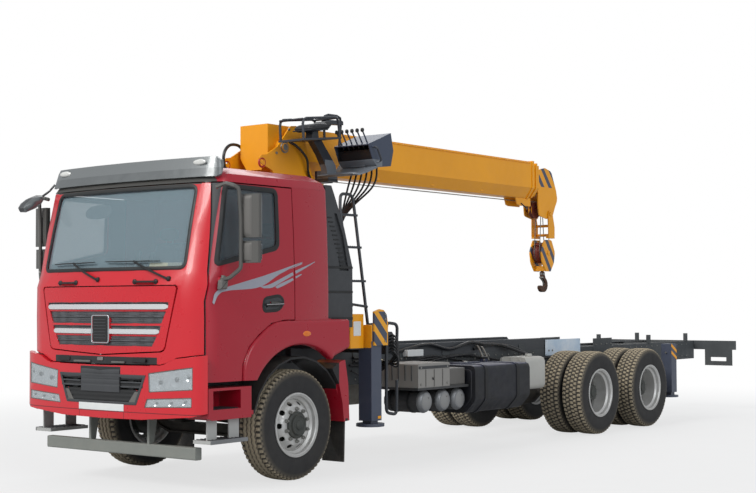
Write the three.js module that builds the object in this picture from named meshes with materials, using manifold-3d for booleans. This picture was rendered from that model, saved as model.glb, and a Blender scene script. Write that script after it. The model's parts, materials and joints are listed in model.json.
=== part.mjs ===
// Truck-mounted crane: a three-axle cab-over truck chassis with no cargo bed, and a slewing
// telescopic crane between the cab and the bare frame.
//
// Units are millimetres. +Z is up, the truck faces -Y and its left side is +X. Positions along the
// truck are written from the front axle; the whole group is then shifted so that the origin is on
// the ground at the middle of the overall length.

import * as THREE from 'three';
import { mergeVertices } from 'three/addons/utils/BufferGeometryUtils.js';
import Module from 'manifold-3d';

const wasm = await Module();
wasm.setup();

// ---------------------------------------------------------------- driving dimensions

const FRONT_AXLE_TO_MIDDLE = 4495;
const GAP = 0.3;

const TYRE_RADIUS = 542;
const WHEEL_FACETS = 20;
const DRIVE_AXLES = [5950, 7350];
const FRONT_TYRE = { inner: 882, outer: 1182 };

const FRAME = { front: -1280, rear: 10440, half: 430, bottom: 825, top: 1105, flange: 80, sheet: 8 };

const CAB_HALF_WIDTH = 1250;
const CAB_WALL = 60;
const CAB_REAR = 420;
const CAB_FLOOR = 1340;
const CAB_EAVES = 2857;
const SEAM = 10;
const WHEEL_ARCH = { y: -40, z: 560, radius: 770 };

const SLEW_Y = 1300;
const SLEW_RING_TOP = 1660;
const BOOM_PIVOT = { y: 830, z: 3400 };
const LUFF_FOOT = { y: 1550, z: 1790 };
const LUFF_EYE = { y: BOOM_PIVOT.y + 720, z: BOOM_PIVOT.z - 400 };
const BOOM = { half: 200, bottom: 3155, top: 3645, root: 640, end: 5990 };
const HOOK_Y = 6530;

const OUTRIGGER = { bottom: 1262, height: 190, width: 190, wall: 12, halfLength: 1000, leg: 170, legX: 1120 };
const OUTRIGGER_BEAMS = [{ side: 1, y: 1220 }, { side: -1, y: 1430 }];
const REAR_JACK = { x: 1100, y: 8200, leg: 160 };

// ---------------------------------------------------------------- shapes

// Corners are [u, v] or [u, v, radius]; a radius rounds that corner with short chords.
function outline(corners, chord = 40) {
  const points = [];
  const count = corners.length;
  corners.forEach(([u, v, radius = 0], index) => {
    const corner = new THREE.Vector2(u, v);
    if (radius === 0) {
      points.push(corner);
      return;
    }
    const previous = corners[(index + count - 1) % count];
    const next = corners[(index + 1) % count];
    const back = new THREE.Vector2(previous[0], previous[1]).sub(corner).normalize();
    const ahead = new THREE.Vector2(next[0], next[1]).sub(corner).normalize();
    const half = Math.acos(THREE.MathUtils.clamp(back.dot(ahead), -1, 1)) / 2;
    const middle = back.clone().add(ahead).normalize();
    const centre = corner.clone().addScaledVector(middle, radius / Math.sin(half));
    const start = corner.clone().addScaledVector(back, radius / Math.tan(half)).sub(centre);
    const turn = Math.PI - 2 * half;
    const sense = Math.sign(ahead.cross(back)) || 1;
    const steps = Math.max(1, Math.round(THREE.MathUtils.radToDeg(turn) / chord));
    for (let step = 0; step <= steps; step += 1) {
      points.push(start.clone().rotateAround(new THREE.Vector2(), (sense * turn * step) / steps).add(centre));
    }
  });
  return points;
}

function circle(u, v, radius, sides = 12) {
  return Array.from({ length: sides }, (_, index) => {
    const angle = (2 * Math.PI * (index + 0.5)) / sides;
    return [u + radius * Math.cos(angle), v + radius * Math.sin(angle)];
  });
}

// A chain of points along a circular arc, angles in degrees from +u towards +v.
function arc(u, v, radius, from, to, steps) {
  return Array.from({ length: steps + 1 }, (_, index) => {
    const angle = THREE.MathUtils.degToRad(from + ((to - from) * index) / steps);
    return [u + radius * Math.cos(angle), v + radius * Math.sin(angle)];
  });
}

// A closed solid from any closed triangle soup, with its faces turned outwards.
function solid(geometry) {
  const bare = new THREE.BufferGeometry();
  bare.setAttribute('position', geometry.getAttribute('position'));
  if (geometry.index) bare.setIndex(geometry.index);
  const merged = mergeVertices(bare, 1e-3);
  const position = merged.getAttribute('position');
  const corners = Array.from(merged.index.array);
  const triangles = [];
  let volume = 0;
  for (let index = 0; index < corners.length; index += 3) {
    const [a, b, c] = corners.slice(index, index + 3);
    if (a === b || b === c || c === a) continue;
    triangles.push(a, b, c);
    const first = new THREE.Vector3().fromBufferAttribute(position, a);
    const second = new THREE.Vector3().fromBufferAttribute(position, b);
    const third = new THREE.Vector3().fromBufferAttribute(position, c);
    volume += first.dot(second.cross(third));
  }
  if (volume < 0) triangles.reverse();
  return new wasm.Manifold(new wasm.Mesh({
    numProp: 3,
    vertProperties: new Float32Array(position.array),
    triVerts: new Uint32Array(triangles),
  }));
}

const PLACE = {
  x: (u, v, w) => [w, u, v],
  y: (u, v, w) => [u, w, v],
  z: (u, v, w) => [u, v, w],
};

// An outline extruded along an axis. Outlines are (y, z) along x, (x, z) along y, (x, y) along z.
function prism(axis, corners, from, to, holes = []) {
  const shape = new THREE.Shape(outline(corners));
  holes.forEach((hole) => shape.holes.push(new THREE.Path(outline(hole))));
  const geometry = new THREE.ExtrudeGeometry(shape, { depth: to - from, bevelEnabled: false });
  const position = geometry.getAttribute('position');
  for (let index = 0; index < position.count; index += 1) {
    const [x, y, z] = PLACE[axis](position.getX(index), position.getY(index), position.getZ(index) + from);
    position.setXYZ(index, x, y, z);
  }
  return solid(geometry);
}

function block(x0, x1, y0, y1, z0, z1) {
  const geometry = new THREE.BoxGeometry(x1 - x0, y1 - y0, z1 - z0);
  return solid(geometry.translate((x0 + x1) / 2, (y0 + y1) / 2, (z0 + z1) / 2));
}

const rod = (axis, u, v, radius, from, to, sides = 12) => prism(axis, circle(u, v, radius, sides), from, to);

// A profile of [radius, x] points turned about an axis that runs along X through (y, z).
function turned(profile, y, z, facets) {
  const points = profile.map(([radius, along]) => new THREE.Vector2(radius, along));
  const geometry = new THREE.LatheGeometry(points, facets, Math.PI / facets);
  return solid(geometry.rotateZ(-Math.PI / 2).translate(0, y, z));
}

// Skin through equal rings of points, closed at both ends.
function loft(rings) {
  const size = rings[0].length;
  const positions = [];
  const faces = [];
  rings.forEach((ring) => ring.forEach((point) => positions.push(...point)));
  for (let level = 0; level < rings.length - 1; level += 1) {
    for (let index = 0; index < size; index += 1) {
      const a = level * size + index;
      const b = level * size + ((index + 1) % size);
      faces.push(a, b, b + size, a, b + size, a + size);
    }
  }
  const last = (rings.length - 1) * size;
  for (let index = 1; index < size - 1; index += 1) {
    faces.push(0, index + 1, index);
    faces.push(last, last + index, last + index + 1);
  }
  const geometry = new THREE.BufferGeometry();
  geometry.setAttribute('position', new THREE.Float32BufferAttribute(positions, 3));
  geometry.setIndex(faces);
  return solid(geometry);
}

// A round bar along a route of [x, y, z, bendRadius] points.
function bar(route, radius, sides = 6) {
  const path = [];
  route.forEach(([x, y, z, bend = 0], index) => {
    const here = new THREE.Vector3(x, y, z);
    if (bend === 0) {
      path.push(here);
      return;
    }
    const back = new THREE.Vector3(...route[index - 1].slice(0, 3)).sub(here).normalize();
    const ahead = new THREE.Vector3(...route[index + 1].slice(0, 3)).sub(here).normalize();
    const reach = bend / Math.tan(back.angleTo(ahead) / 2);
    const start = here.clone().addScaledVector(back, reach);
    const end = here.clone().addScaledVector(ahead, reach);
    const curve = new THREE.QuadraticBezierCurve3(start, here, end);
    path.push(...curve.getPoints(2));
  });
  const tangents = path.map((point, index) => {
    const before = path[Math.max(0, index - 1)];
    const after = path[Math.min(path.length - 1, index + 1)];
    return after.clone().sub(before).normalize();
  });
  const lean = Math.abs(tangents[0].z) < 0.9 ? new THREE.Vector3(0, 0, 1) : new THREE.Vector3(1, 0, 0);
  let across = new THREE.Vector3().crossVectors(tangents[0], lean).normalize();
  const rings = path.map((point, index) => {
    across = across.clone().addScaledVector(tangents[index], -across.dot(tangents[index])).normalize();
    const up = new THREE.Vector3().crossVectors(tangents[index], across);
    return circle(0, 0, radius, sides).map(([u, v]) => (
      point.clone().addScaledVector(across, u).addScaledVector(up, v).toArray()
    ));
  });
  return loft(rings);
}

const join = (...solids) => solids.reduce((whole, piece) => whole.add(piece));
const cut = (whole, ...pieces) => pieces.reduce((rest, piece) => rest.subtract(piece), whole);

function geometryOf(whole) {
  const mesh = whole.getMesh();
  const geometry = new THREE.BufferGeometry();
  geometry.setAttribute('position', new THREE.BufferAttribute(new Float32Array(mesh.vertProperties), 3));
  geometry.setIndex(new THREE.BufferAttribute(new Uint32Array(mesh.triVerts), 1));
  return geometry;
}

// The other side's copy of a solid: x changes sign.
function opposite(whole) {
  const geometry = geometryOf(whole);
  const position = geometry.getAttribute('position');
  for (let index = 0; index < position.count; index += 1) {
    position.setX(index, -position.getX(index));
  }
  return solid(geometry);
}

const both = (whole) => whole.add(opposite(whole));

// ---------------------------------------------------------------- materials

function finish(colour, roughness, metalness = 0) {
  return new THREE.MeshStandardMaterial({ color: colour, roughness, metalness });
}

const MATERIALS = {
  cabRed: () => finish(0xc8202c, 0.3),
  craneYellow: () => finish(0xf2a516, 0.4),
  jackBlue: () => finish(0x454c5c, 0.5),
  frameBlack: () => finish(0x2f3236, 0.6),
  castIron: () => finish(0x3a3a3a, 0.7, 0.4),
  tyre: () => finish(0x2c2b2a, 0.9),
  darkPlastic: () => finish(0x34363a, 0.6),
  visorGrey: () => finish(0x6f7274, 0.45),
  blackPaint: () => finish(0x2a2c30, 0.5),
  silverBox: () => finish(0x9a9a96, 0.5),
  glass: () => new THREE.MeshStandardMaterial({
    color: 0xc6d0d2, roughness: 0.05, transparent: true, opacity: 0.35,
  }),
  seatCloth: () => finish(0x37383b, 0.9),
  chrome: () => finish(0xd0d0d0, 0.15, 1),
  hookIron: () => finish(0x5b4c43, 0.7, 0.4),
};

const crane = new THREE.Group();
crane.position.y = -FRONT_AXLE_TO_MIDDLE;

function part(name, whole, material) {
  const mesh = new THREE.Mesh(geometryOf(whole), MATERIALS[material]());
  mesh.name = name;
  crane.add(mesh);
}

// ---------------------------------------------------------------- chassis frame and axles

function channelRail() {
  const { half, bottom, top, flange, sheet, front, rear } = FRAME;
  const inner = half - flange;
  return prism('y', [
    [half, bottom], [half, top], [inner, top], [inner, top - sheet],
    [half - sheet, top - sheet], [half - sheet, bottom + sheet], [inner, bottom + sheet], [inner, bottom],
  ], front, rear);
}

function chassisFrame() {
  const crossmembers = [-1230, 1750, 2800, 3850, 4900, 5550, 6650, 7750, 8700, 9600, 10380];
  const web = FRAME.half - FRAME.sheet + 1;
  const channel = (y) => prism('x', [
    [y - 50, 950], [y + 50, 950], [y + 50, 958], [y - 42, 958],
    [y - 42, 1089], [y + 50, 1089], [y + 50, 1097], [y - 50, 1097],
  ], -web, web);
  const post = (y) => block(400, 450, y - 25, y + 25, 1100, 1230);
  const bearer = block(354, 396, 8960, 10080, 1097, 1111);
  const bedBracket = prism('x', [[7180, 1000], [7720, 1000], [7720, 1215], [7180, 1215]], 429, 438);
  const endPlate = prism('x', [[9720, 900], [10430, 840], [10430, 1095], [9720, 1095]], 429, 436);
  return join(both(join(
    channelRail(), post(8887), post(10152), bearer, bedBracket, endPlate,
  )), ...crossmembers.map(channel));
}
part('chassis_frame', chassisFrame(), 'frameBlack');

function engine() {
  const engineBlock = prism('y', [
    [-150, 640], [150, 640], [230, 760], [330, 800], [330, 1180], [210, 1480], [-210, 1480],
    [-330, 1180], [-330, 800], [-230, 760],
  ], -900, 560);
  const gearbox = loft([
    [[-250, 550, 690], [250, 550, 690], [250, 550, 1140], [-250, 550, 1140]],
    [[-190, 760, 740], [190, 760, 740], [190, 760, 1070], [-190, 760, 1070]],
    [[-150, 1440, 790], [150, 1440, 790], [150, 1440, 1010], [-150, 1440, 1010]],
  ]);
  const radiator = block(-340, 340, -1180, -1070, 770, 1285);
  const fanShroud = rod('y', 0, 1020, 240, -1071, -899, 14);
  return join(engineBlock, gearbox, radiator, fanShroud);
}
part('engine', engine(), 'castIron');

// Leaf pack seen from the side: flat in the middle, curling up to its two eyes.
function leafPack(middle, halfLength, seat, eye, thickness) {
  return [
    [middle - halfLength, eye - 22], [middle - halfLength * 0.5, seat + (eye - seat) * 0.2],
    [middle - 80, seat], [middle + 80, seat],
    [middle + halfLength * 0.5, seat + (eye - seat) * 0.2], [middle + halfLength, eye - 22],
    [middle + halfLength, eye + 22],
    [middle + halfLength * 0.5, seat + (eye - seat) * 0.2 + thickness * 0.55],
    [middle + 80, seat + thickness], [middle - 80, seat + thickness],
    [middle - halfLength * 0.5, seat + (eye - seat) * 0.2 + thickness * 0.55],
    [middle - halfLength, eye + 22],
  ];
}

function frontAxle() {
  const beamPath = [[-925, 590], [-830, 590], [-580, 500], [580, 500], [830, 590], [925, 590]];
  const strip = (offset, height, half) => prism('y', [
    ...beamPath.map(([x, z]) => [x, z + offset + height]),
    ...beamPath.slice().reverse().map(([x, z]) => [x, z + offset]),
  ], -half, half);
  const beam = join(strip(-20, 22, 48), strip(-100, 82, 12), strip(-118, 22, 48));
  const spring = prism('x', leafPack(0, 760, 521, 770, 75), 352, 432);
  const hangers = join(block(
    362, 422, -790, -730, 740, FRAME.bottom - GAP,
  ), block(362, 422, 730, 790, 740, FRAME.bottom - GAP));
  const seat = block(345, 440, -90, 90, 500, 525);
  const boss = block(835, 925, -46, 46, 465, 610);
  return join(beam, both(join(spring, hangers, seat, boss)));
}
part('front_axle', frontAxle(), 'castIron');

const AXLE_HOUSING = [
  [0, -640], [70, -640], [72, -300], [170, -190], [215, 0], [170, 190], [72, 300], [70, 640], [0, 640],
];

function propShaft(y0, z0, y1, z1, radius) {
  const ring = (y, z) => circle(0, z, radius, 8).map(([x, height]) => [x, y, height]);
  return loft([ring(y0, z0), ring(y1, z1)]);
}

function driveAxle(y, shaftFrom, shaftFromZ) {
  const housing = turned(AXLE_HOUSING, y, TYRE_RADIUS, 12);
  const nose = propShaft(y - 100, TYRE_RADIUS + 55, y - 370, TYRE_RADIUS + 58, 110);
  const shaft = propShaft(y - 360, TYRE_RADIUS + 58, shaftFrom, shaftFromZ, 50);
  return join(housing, nose, shaft);
}
part('rear_axle_1', driveAxle(DRIVE_AXLES[0], 1441, 900), 'castIron');
part('rear_axle_2', driveAxle(DRIVE_AXLES[1], DRIVE_AXLES[0] + 216, TYRE_RADIUS + 20), 'castIron');

function bogieSprings() {
  const middle = (DRIVE_AXLES[0] + DRIVE_AXLES[1]) / 2;
  const axleTop = TYRE_RADIUS + 76;
  const pack = prism('x', [
    [middle - 760, axleTop], [middle - 400, axleTop], [middle - 120, axleTop + 12],
    [middle + 120, axleTop + 12],
    [middle + 400, axleTop], [middle + 760, axleTop], [middle + 760, axleTop + 40],
    [middle + 420, axleTop + 95],
    [middle + 120, axleTop + 150], [middle - 120, axleTop + 150], [middle - 420, axleTop + 95],
    [middle - 760, axleTop + 40],
  ], 350, 430);
  const trunnion = prism('x', [
    [middle - 160, FRAME.bottom - GAP], [middle - 90, 560], [middle + 90, 560],
    [middle + 160, FRAME.bottom - GAP],
  ], 376, 404);
  const crossTube = rod('x', middle, 740, 45, -360, 360, 10);
  return join(both(join(pack, trunnion)), crossTube);
}
part('bogie_springs', bogieSprings(), 'castIron');

// ---------------------------------------------------------------- steering knuckles and wheels

function knuckle() {
  const x = 880;
  const boss = 50;
  const swivel = join(
    block(x - boss, 1000, -boss, boss, 616, 655),
    block(x - boss, 1000, -boss, boss, 420, 459),
    block(960, 1000, -boss, boss, 420, 655),
    rod('x', 0, TYRE_RADIUS, 38, 990, 1058, 10),
  );
  const steeringArm = prism('z', [[845, -30], [915, -30], [910, 215], [850, 215]], 425, 452);
  return join(swivel, steeringArm);
}
part('knuckle_left', knuckle(), 'castIron');
part('knuckle_right', opposite(knuckle()), 'castIron');

function tieRod() {
  const reach = 880;
  const tube = rod('x', 190, 472, 14, -reach, reach, 8);
  return join(tube, rod('z', -reach, 190, 24, 457, 487, 10), rod('z', reach, 190, 24, 457, 487, 10));
}
part('tie_rod', tieRod(), 'castIron');

// Tyre section between two side planes, from the outer bead round the tread to the inner bead.
function tyreSection(inner, outer) {
  const radius = TYRE_RADIUS / Math.cos(Math.PI / WHEEL_FACETS);
  return [
    [303, outer - 17], [430, outer], [515, outer - 22], [radius, outer - 62], [radius, inner + 62],
    [515, inner + 22], [430, inner], [303, inner + 17],
  ];
}

function frontWheel(y) {
  const { inner, outer } = FRONT_TYRE;
  return turned([
    [0, outer + 38], [82, outer + 32], [96, outer - 22], [190, outer - 22], [240, outer - 80],
    ...tyreSection(inner, outer),
    [262, inner + 30], [262, outer - 95], [206, outer - 75], [206, inner + 40], [188, inner + 40],
    [188, outer - 118], [0, outer - 118],
  ], y, TYRE_RADIUS, WHEEL_FACETS);
}

function twinWheel(y) {
  return turned([
    [0, 1130], [98, 1122], [104, 955], [248, 935],
    ...tyreSection(939, 1239), ...tyreSection(602, 902),
    [268, 632], [266, 880], [212, 888], [212, 652], [0, 652],
  ], y, TYRE_RADIUS, WHEEL_FACETS);
}

const WHEELS = [
  { name: 'wheel_front', make: () => frontWheel(0) },
  { name: 'wheel_rear_1', make: () => twinWheel(DRIVE_AXLES[0]) },
  { name: 'wheel_rear_2', make: () => twinWheel(DRIVE_AXLES[1]) },
];
WHEELS.forEach(({ name, make }) => {
  part(`${name}_left`, make(), 'tyre');
  part(`${name}_right`, opposite(make()), 'tyre');
});

// ---------------------------------------------------------------- bumper, steps and wings

// Plan of the front: bowed slightly across the middle, with a rounded corner at each end.
function frontPlan({ front, bow, run, depth, half }, inset = 0) {
  const width = half - inset;
  const straight = half - run;
  const at = (x, turn) => [x, front + inset + bow * (x / half) ** 2 + (depth - inset / 2) * turn];
  const right = [0, 0.45, 0.8].map((share) => at(share * straight, 0));
  for (const angle of [0, 30, 60, 90].map(THREE.MathUtils.degToRad)) {
    right.push(at(straight + (width - straight) * Math.sin(angle), 1 - Math.cos(angle)));
  }
  return [...right.slice(1).reverse().map(([x, y]) => [-x, y]), ...right];
}

// Closed plan of a sheet that follows a plan curve, with its inner face offset by the thickness.
function band(points, thickness) {
  const inner = points.map(([x, y], index) => {
    const before = points[Math.max(0, index - 1)];
    const after = points[Math.min(points.length - 1, index + 1)];
    const along = new THREE.Vector2(after[0] - before[0], after[1] - before[1]).normalize();
    return [x - along.y * thickness, y + along.x * thickness];
  });
  return [...points, ...inner.reverse()];
}

const mirroredOutline = (half) => [
  ...half,
  ...half.slice().reverse().filter(([x]) => x !== 0).map(([x, z]) => [-x, z]),
];

const BUMPER_TOP = [[0, 1153], [760, 1160], [830, 1176], [950, 1226], [1270, 1266]];

function bumper() {
  const outer = { front: -1490, bow: 100, run: 200, depth: 90, half: 1250 };
  const layer = (setback, thickness, z0, z1) => prism(
    'z', band(frontPlan(outer, setback), thickness), z0, z1,
  );
  const sheet = layer(0, 50, 655, 1270);
  const above = prism('y', mirroredOutline([...BUMPER_TOP, [1270, 1400]]), -1600, -1100);
  const below = prism(
    'y', mirroredOutline([[0, 657], [560, 662], [1140, 705], [1270, 742], [1270, 500]]), -1600, -1100,
  );
  const grille = prism('y', [[-492, 792], [492, 792], [612, 1072], [-612, 1072]], -1600, -1300);
  const lamp = prism('y', [[648, 915], [1150, 950], [1150, 1156], [640, 1092]], -1600, -1290);
  const fog = prism('y', [[592, 774], [1140, 792], [1140, 882], [622, 856]], -1600, -1290);
  const seats = [[640, 1160, 908, 1164], [584, 1150, 768, 888]].map(([x0, x1, z0, z1]) => (
    both(layer(22, 26, z0, z1).intersect(block(x0, x1, -1600, -1300, 500, 1300)))
  ));
  const slats = [[846, 872], [905, 931], [964, 990], [1022, 1048]].map(([z0, z1]) => layer(14, 22, z0, z1));
  const grilleEdge = prism('y', [[-502, 785], [502, 785], [624, 1080], [-624, 1080]], -1600, -1300);
  const towCover = layer(5, 30, 930, 1150).intersect(block(-275, 275, -1600, -1300, 0, 2000));
  const mounts = both(block(362, 428, -1450, FRAME.front - GAP, 880, 1060));
  return join(
    cut(sheet, above, below, grille, both(lamp), both(fog), block(-1300, 1300, -1300, -1100, 600, 1300)),
    ...seats, ...slats.map((slat) => slat.intersect(grilleEdge)), towCover, mounts,
  );
}
part('front_bumper', bumper(), 'cabRed');

function underrunBar() {
  const tube = prism(
    'x', [[-1260, 300, 12], [-1180, 300, 12], [-1180, 415, 12], [-1260, 415, 12]], -1050, 1050,
  );
  const drop = prism(
    'x', [[-1250, 400], [-1190, 400], [-1120, FRAME.bottom - GAP], [-1250, FRAME.bottom - GAP]], 398, 428,
  );
  return join(tube, both(drop));
}
part('underrun_bar', underrunBar(), 'frameBlack');

function frontWing() {
  const well = prism('x', [[-1286, 690], [-1240, 670], [-722, 670], [-722, 960], [-1286, 960]], 900, 1244);
  const treadSpace = block(965, 1300, -1225, -865, 765, 935);
  const hanging = join(
    block(1010, 1240, -1250, -770, 453, 485),
    block(1150, 1165, -1223, -1100, 480, 680),
    block(1150, 1165, -940, -808, 480, 680),
  );
  const liner = prism('x', [
    ...arc(0, TYRE_RADIUS, 652, 166, 18, 9), ...arc(0, TYRE_RADIUS, 672, 18, 166, 9),
  ], 885, 1205);
  const tongue = prism('x', [[-640, 690], [-730, 690], [-730, 730], [-640, 730]], 905, 1205);
  const mudguard = prism('x', [
    [452, 1075], [560, 915], [612, 722], [636, 535], [722, 541], [704, 916], [656, 1154], [600, 1150],
  ], 930, 1246);
  const flap = prism('x', [[656, 124], [676, 124], [690, 560], [670, 560]], 935, 1215);
  const stays = join(block(
    FRAME.half + GAP, 940, -905, -865, 850, 890,
  ), block(FRAME.half + GAP, 940, 640, 670, 860, 900));
  return join(cut(well, treadSpace), hanging, liner, tongue, mudguard, flap, stays);
}
part('front_wing_left', frontWing(), 'cabRed');
part('front_wing_right', opposite(frontWing()), 'cabRed');

// ---------------------------------------------------------------- tanks and boxes on the frame

function fuelTank() {
  const body = prism('y', [
    [500, 455, 60], [1070, 455, 60], [1212, 610, 60], [1212, 1005, 60], [500, 1005, 60],
  ], 3050, 4230);
  const strap = (y) => prism('y', [
    [492, 447, 60], [1074, 447, 60], [1220, 607, 60], [1220, 1013, 60], [492, 1013, 60],
  ], y, y + 60);
  const arm = (y) => prism('y', [
    [FRAME.half + GAP, 840], [520, 470], [520, 1000], [FRAME.half + GAP, 1000],
  ], y, y + 60);
  const cap = rod('z', 640, 4080, 50, 1000, 1040, 10);
  return join(body, strap(3250), strap(3930), arm(3250), arm(3930), cap);
}
part('fuel_tank', fuelTank(), 'blackPaint');

function batteryAndAirTanks() {
  const shelf = block(FRAME.half + GAP, 1130, 2050, 3030, 765, 792);
  const batteries = prism(
    'x', [[2060, 790], [2660, 790], [2660, 1050], [2640, 1060], [2080, 1060], [2060, 1050]], 620, 1128,
  );
  const controlBox = block(640, 1090, 2690, 3010, 790, 985);
  const AIR_TANKS = [[2250, 635], [2600, 633], [2895, 633]];
  const tanks = AIR_TANKS.map(([y, z]) => turned([
    [0, 560], [80, 565], [115, 590], [127, 630], [127, 1040], [115, 1080], [80, 1105], [0, 1110],
  ], y, z, 12));
  const straps = AIR_TANKS.map(([y, z]) => block(700, 740, y - 20, y + 20, z + 60, 770));
  return join(shelf, batteries, controlBox, ...tanks, ...straps);
}
part('battery_and_air_tanks', batteryAndAirTanks(), 'darkPlastic');

function ureaTank() {
  const body = prism('y', [[560, 640, 60], [960, 640, 60], [960, 1045, 60], [560, 1045, 60]], 4560, 5000);
  const bracket = block(FRAME.half + GAP, 570, 4600, 4960, 780, 940);
  return join(body, bracket, rod('z', 840, 4800, 45, 1040, 1080, 10));
}
part('urea_tank', ureaTank(), 'silverBox');

function exhaustBox() {
  const body = prism(
    'y', [[-1180, 480, 70], [-560, 480, 70], [-560, 1000, 70], [-1180, 1000, 70]], 2300, 3250,
  );
  const bracket = block(-570, -FRAME.half - GAP, 2450, 3100, 860, 960);
  const pipe = bar(
    [[-700, 2320, 640], [-700, 2100, 640, 120], [-700, 2100, 540, 10], [-1000, 2100, 540]], 55, 8,
  );
  return join(body, bracket, rod('y', -700, 640, 55, 2150, 2310, 8), rod('x', 2195, 640, 55, -1090, -660, 8));
}
part('exhaust_box', exhaustBox(), 'silverBox');

function tailLampBar() {
  const beam = block(-1130, 1130, FRAME.rear + GAP, FRAME.rear + 40, 970, 1110);
  const hanger = both(block(300, 380, FRAME.rear + GAP, FRAME.rear + 20, 840, 975));
  const plate = cut(block(620, 1080, FRAME.rear + GAP, FRAME.rear + 8, 720, 975), block(
    720, 980, FRAME.rear - 50, FRAME.rear + 60, 790, 850,
  ));
  return join(beam, hanger, plate);
}
part('tail_lamp_bar', tailLampBar(), 'frameBlack');

// ---------------------------------------------------------------- outriggers

function rearOutriggerBeam() {
  const { x, y } = REAR_JACK;
  const beam = block(-1020, 1020, y - 75, y + 75, 645, FRAME.bottom - GAP);
  const bore = block(x - 62, x + 62, y - 62, y + 62, 300, 1105);
  const casing = cut(block(x - 80, x + 80, y - 80, y + 80, 430, 1125), bore);
  const gusset = prism('y', [[700, 660], [1025, 560], [1025, 800], [700, 800]], y - 40, y + 40);
  return join(beam, both(join(casing, gusset)));
}
part('rear_outrigger_beam', rearOutriggerBeam(), 'frameBlack');

function rearJack() {
  const { x, y } = REAR_JACK;
  const column = block(x - 55, x + 55, y - 55, y + 55, 380, 1060);
  return join(column, rod('z', x, y, 130, 360, 388, 12));
}
part('rear_jack_left', rearJack(), 'jackBlue');
part('rear_jack_right', opposite(rearJack()), 'jackBlue');

function outriggerBeam(y) {
  const { bottom, height, wall, legX, leg } = OUTRIGGER;
  const inner = wall + 6;
  const beam = block(-980, legX - 70, y - 84, y + 84, bottom + inner, bottom + height - inner);
  const bore = block(legX - 64, legX + 64, y - 64, y + 64, 400, 1480);
  const casing = cut(block(legX - leg / 2, legX + leg / 2, y - leg / 2, y + leg / 2, 500, 1500), bore);
  const head = prism('x', [
    [y - 60, 1285], [y + 170, 1285], [y + 172, 1520], [y + 150, 1610], [y + 100, 1655], [y + 30, 1665],
    [y - 60, 1640],
  ], legX + leg / 2 - 1, legX + leg / 2 + 22);
  return join(beam, cut(casing), head);
}

function jack(y) {
  const { legX } = OUTRIGGER;
  const column = block(legX - 57, legX + 57, y - 57, y + 57, 465, 1400);
  return join(column, rod('z', legX, y, 150, 440, 472, 12));
}

OUTRIGGER_BEAMS.forEach(({ side, y }) => {
  const name = side > 0 ? 'left' : 'right';
  const placed = (whole) => (side > 0 ? whole : opposite(whole));
  part(`front_outrigger_${name}`, placed(outriggerBeam(y)), 'craneYellow');
  part(`front_jack_${name}`, placed(jack(y)), 'jackBlue');
});

// ---------------------------------------------------------------- crane base and turret

function craneBase() {
  const { bottom, height, wall, halfLength, width } = OUTRIGGER;
  const subframe = both(prism('x', [
    [750, FRAME.top + GAP], [6330, FRAME.top + GAP], [6150, 1250], [750, 1250],
  ], 350, 430));
  const pedestal = loft([
    [[-480, 900, 1245], [480, 900, 1245], [480, 1700, 1245], [-480, 1700, 1245]],
    [[-480, 900, 1470], [480, 900, 1470], [480, 1700, 1470], [-480, 1700, 1470]],
    [[-340, 960, 1590], [340, 960, 1590], [340, 1640, 1590], [-340, 1640, 1590]],
  ]);
  const housing = block(-halfLength, halfLength, 1110, 1540, bottom, bottom + height);
  const cells = OUTRIGGER_BEAMS.map(({ y }) => (
    block(-1500, 1500, y - width / 2 + 4, y + width / 2 - 4, bottom + wall, bottom + height - wall)
  ));
  const ring = rod('z', 0, SLEW_Y, 330, 1580, SLEW_RING_TOP, 20);
  const tank = prism('z', [[700, 870, 20], [1140, 870, 20], [1140, 1100, 20], [700, 1100, 20]], 1250, 1615);
  const tankFoot = block(420, 720, 900, 1080, 1252, 1300);
  const tankCap = rod('z', 1000, 985, 40, 1610, 1650, 10);
  const valves = prism(
    'x', [[1560, 1180], [1690, 1180], [1690, 1380], [1650, 1420], [1560, 1420]], 930, 1080,
  );
  const valveShelf = join(block(420, 960, 1545, 1600, 1190, 1240));
  return join(
    subframe, cut(join(pedestal, housing), ...cells), ring, tank, tankFoot, tankCap, valves, valveShelf,
  );
}
part('crane_base', craneBase(), 'craneYellow');

// Climbing ladder beside the column, and the tube guard round the valve end of the base.
function accessLadder() {
  const stiles = bar([
    [950, 1118, 1640], [770, 1155, 2750, 60], [755, 1180, 2900, 60],
    [755, 1375, 2900, 60], [770, 1395, 2750, 60], [950, 1402, 1470],
  ], 17);
  const treads = [[1963, 893], [2326, 836], [2675, 782]].map(([z, x]) => (
    block(x - 30, x + 12, 1090, 1430, z - 12, z + 12)
  ));
  const foot = bar([[937, 1118, 1720], [937, 1402, 1690]], 14);
  const guard = bar([
    [1000, 1709, 1250], [1100, 1709, 1250, 50], [1100, 1720, 1500, 60], [1100, 1530, 1520, 60],
    [1100, 1520, 560, 60], [1100, 1700, 530, 60], [1100, 1710, 900],
  ], 17);
  const link = bar([[948, 1402, 1500], [1100, 1560, 1517]], 14);
  return join(stiles, ...treads, foot, guard, link);
}
part('access_ladder', accessLadder(), 'blackPaint');

const TURRET_PLATE = [
  [1050, 1690], [1030, 2150], [880, 2230], [850, 2380], [960, 2620], [600, 3200], [560, 3310], [720, 3400],
  [930, 3640, 30], [1030, 3650, 30], [1150, 3560], [1250, 3200], [1530, 2700], [1560, 2250], [1640, 1960],
  [1640, 1690],
];

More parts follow.
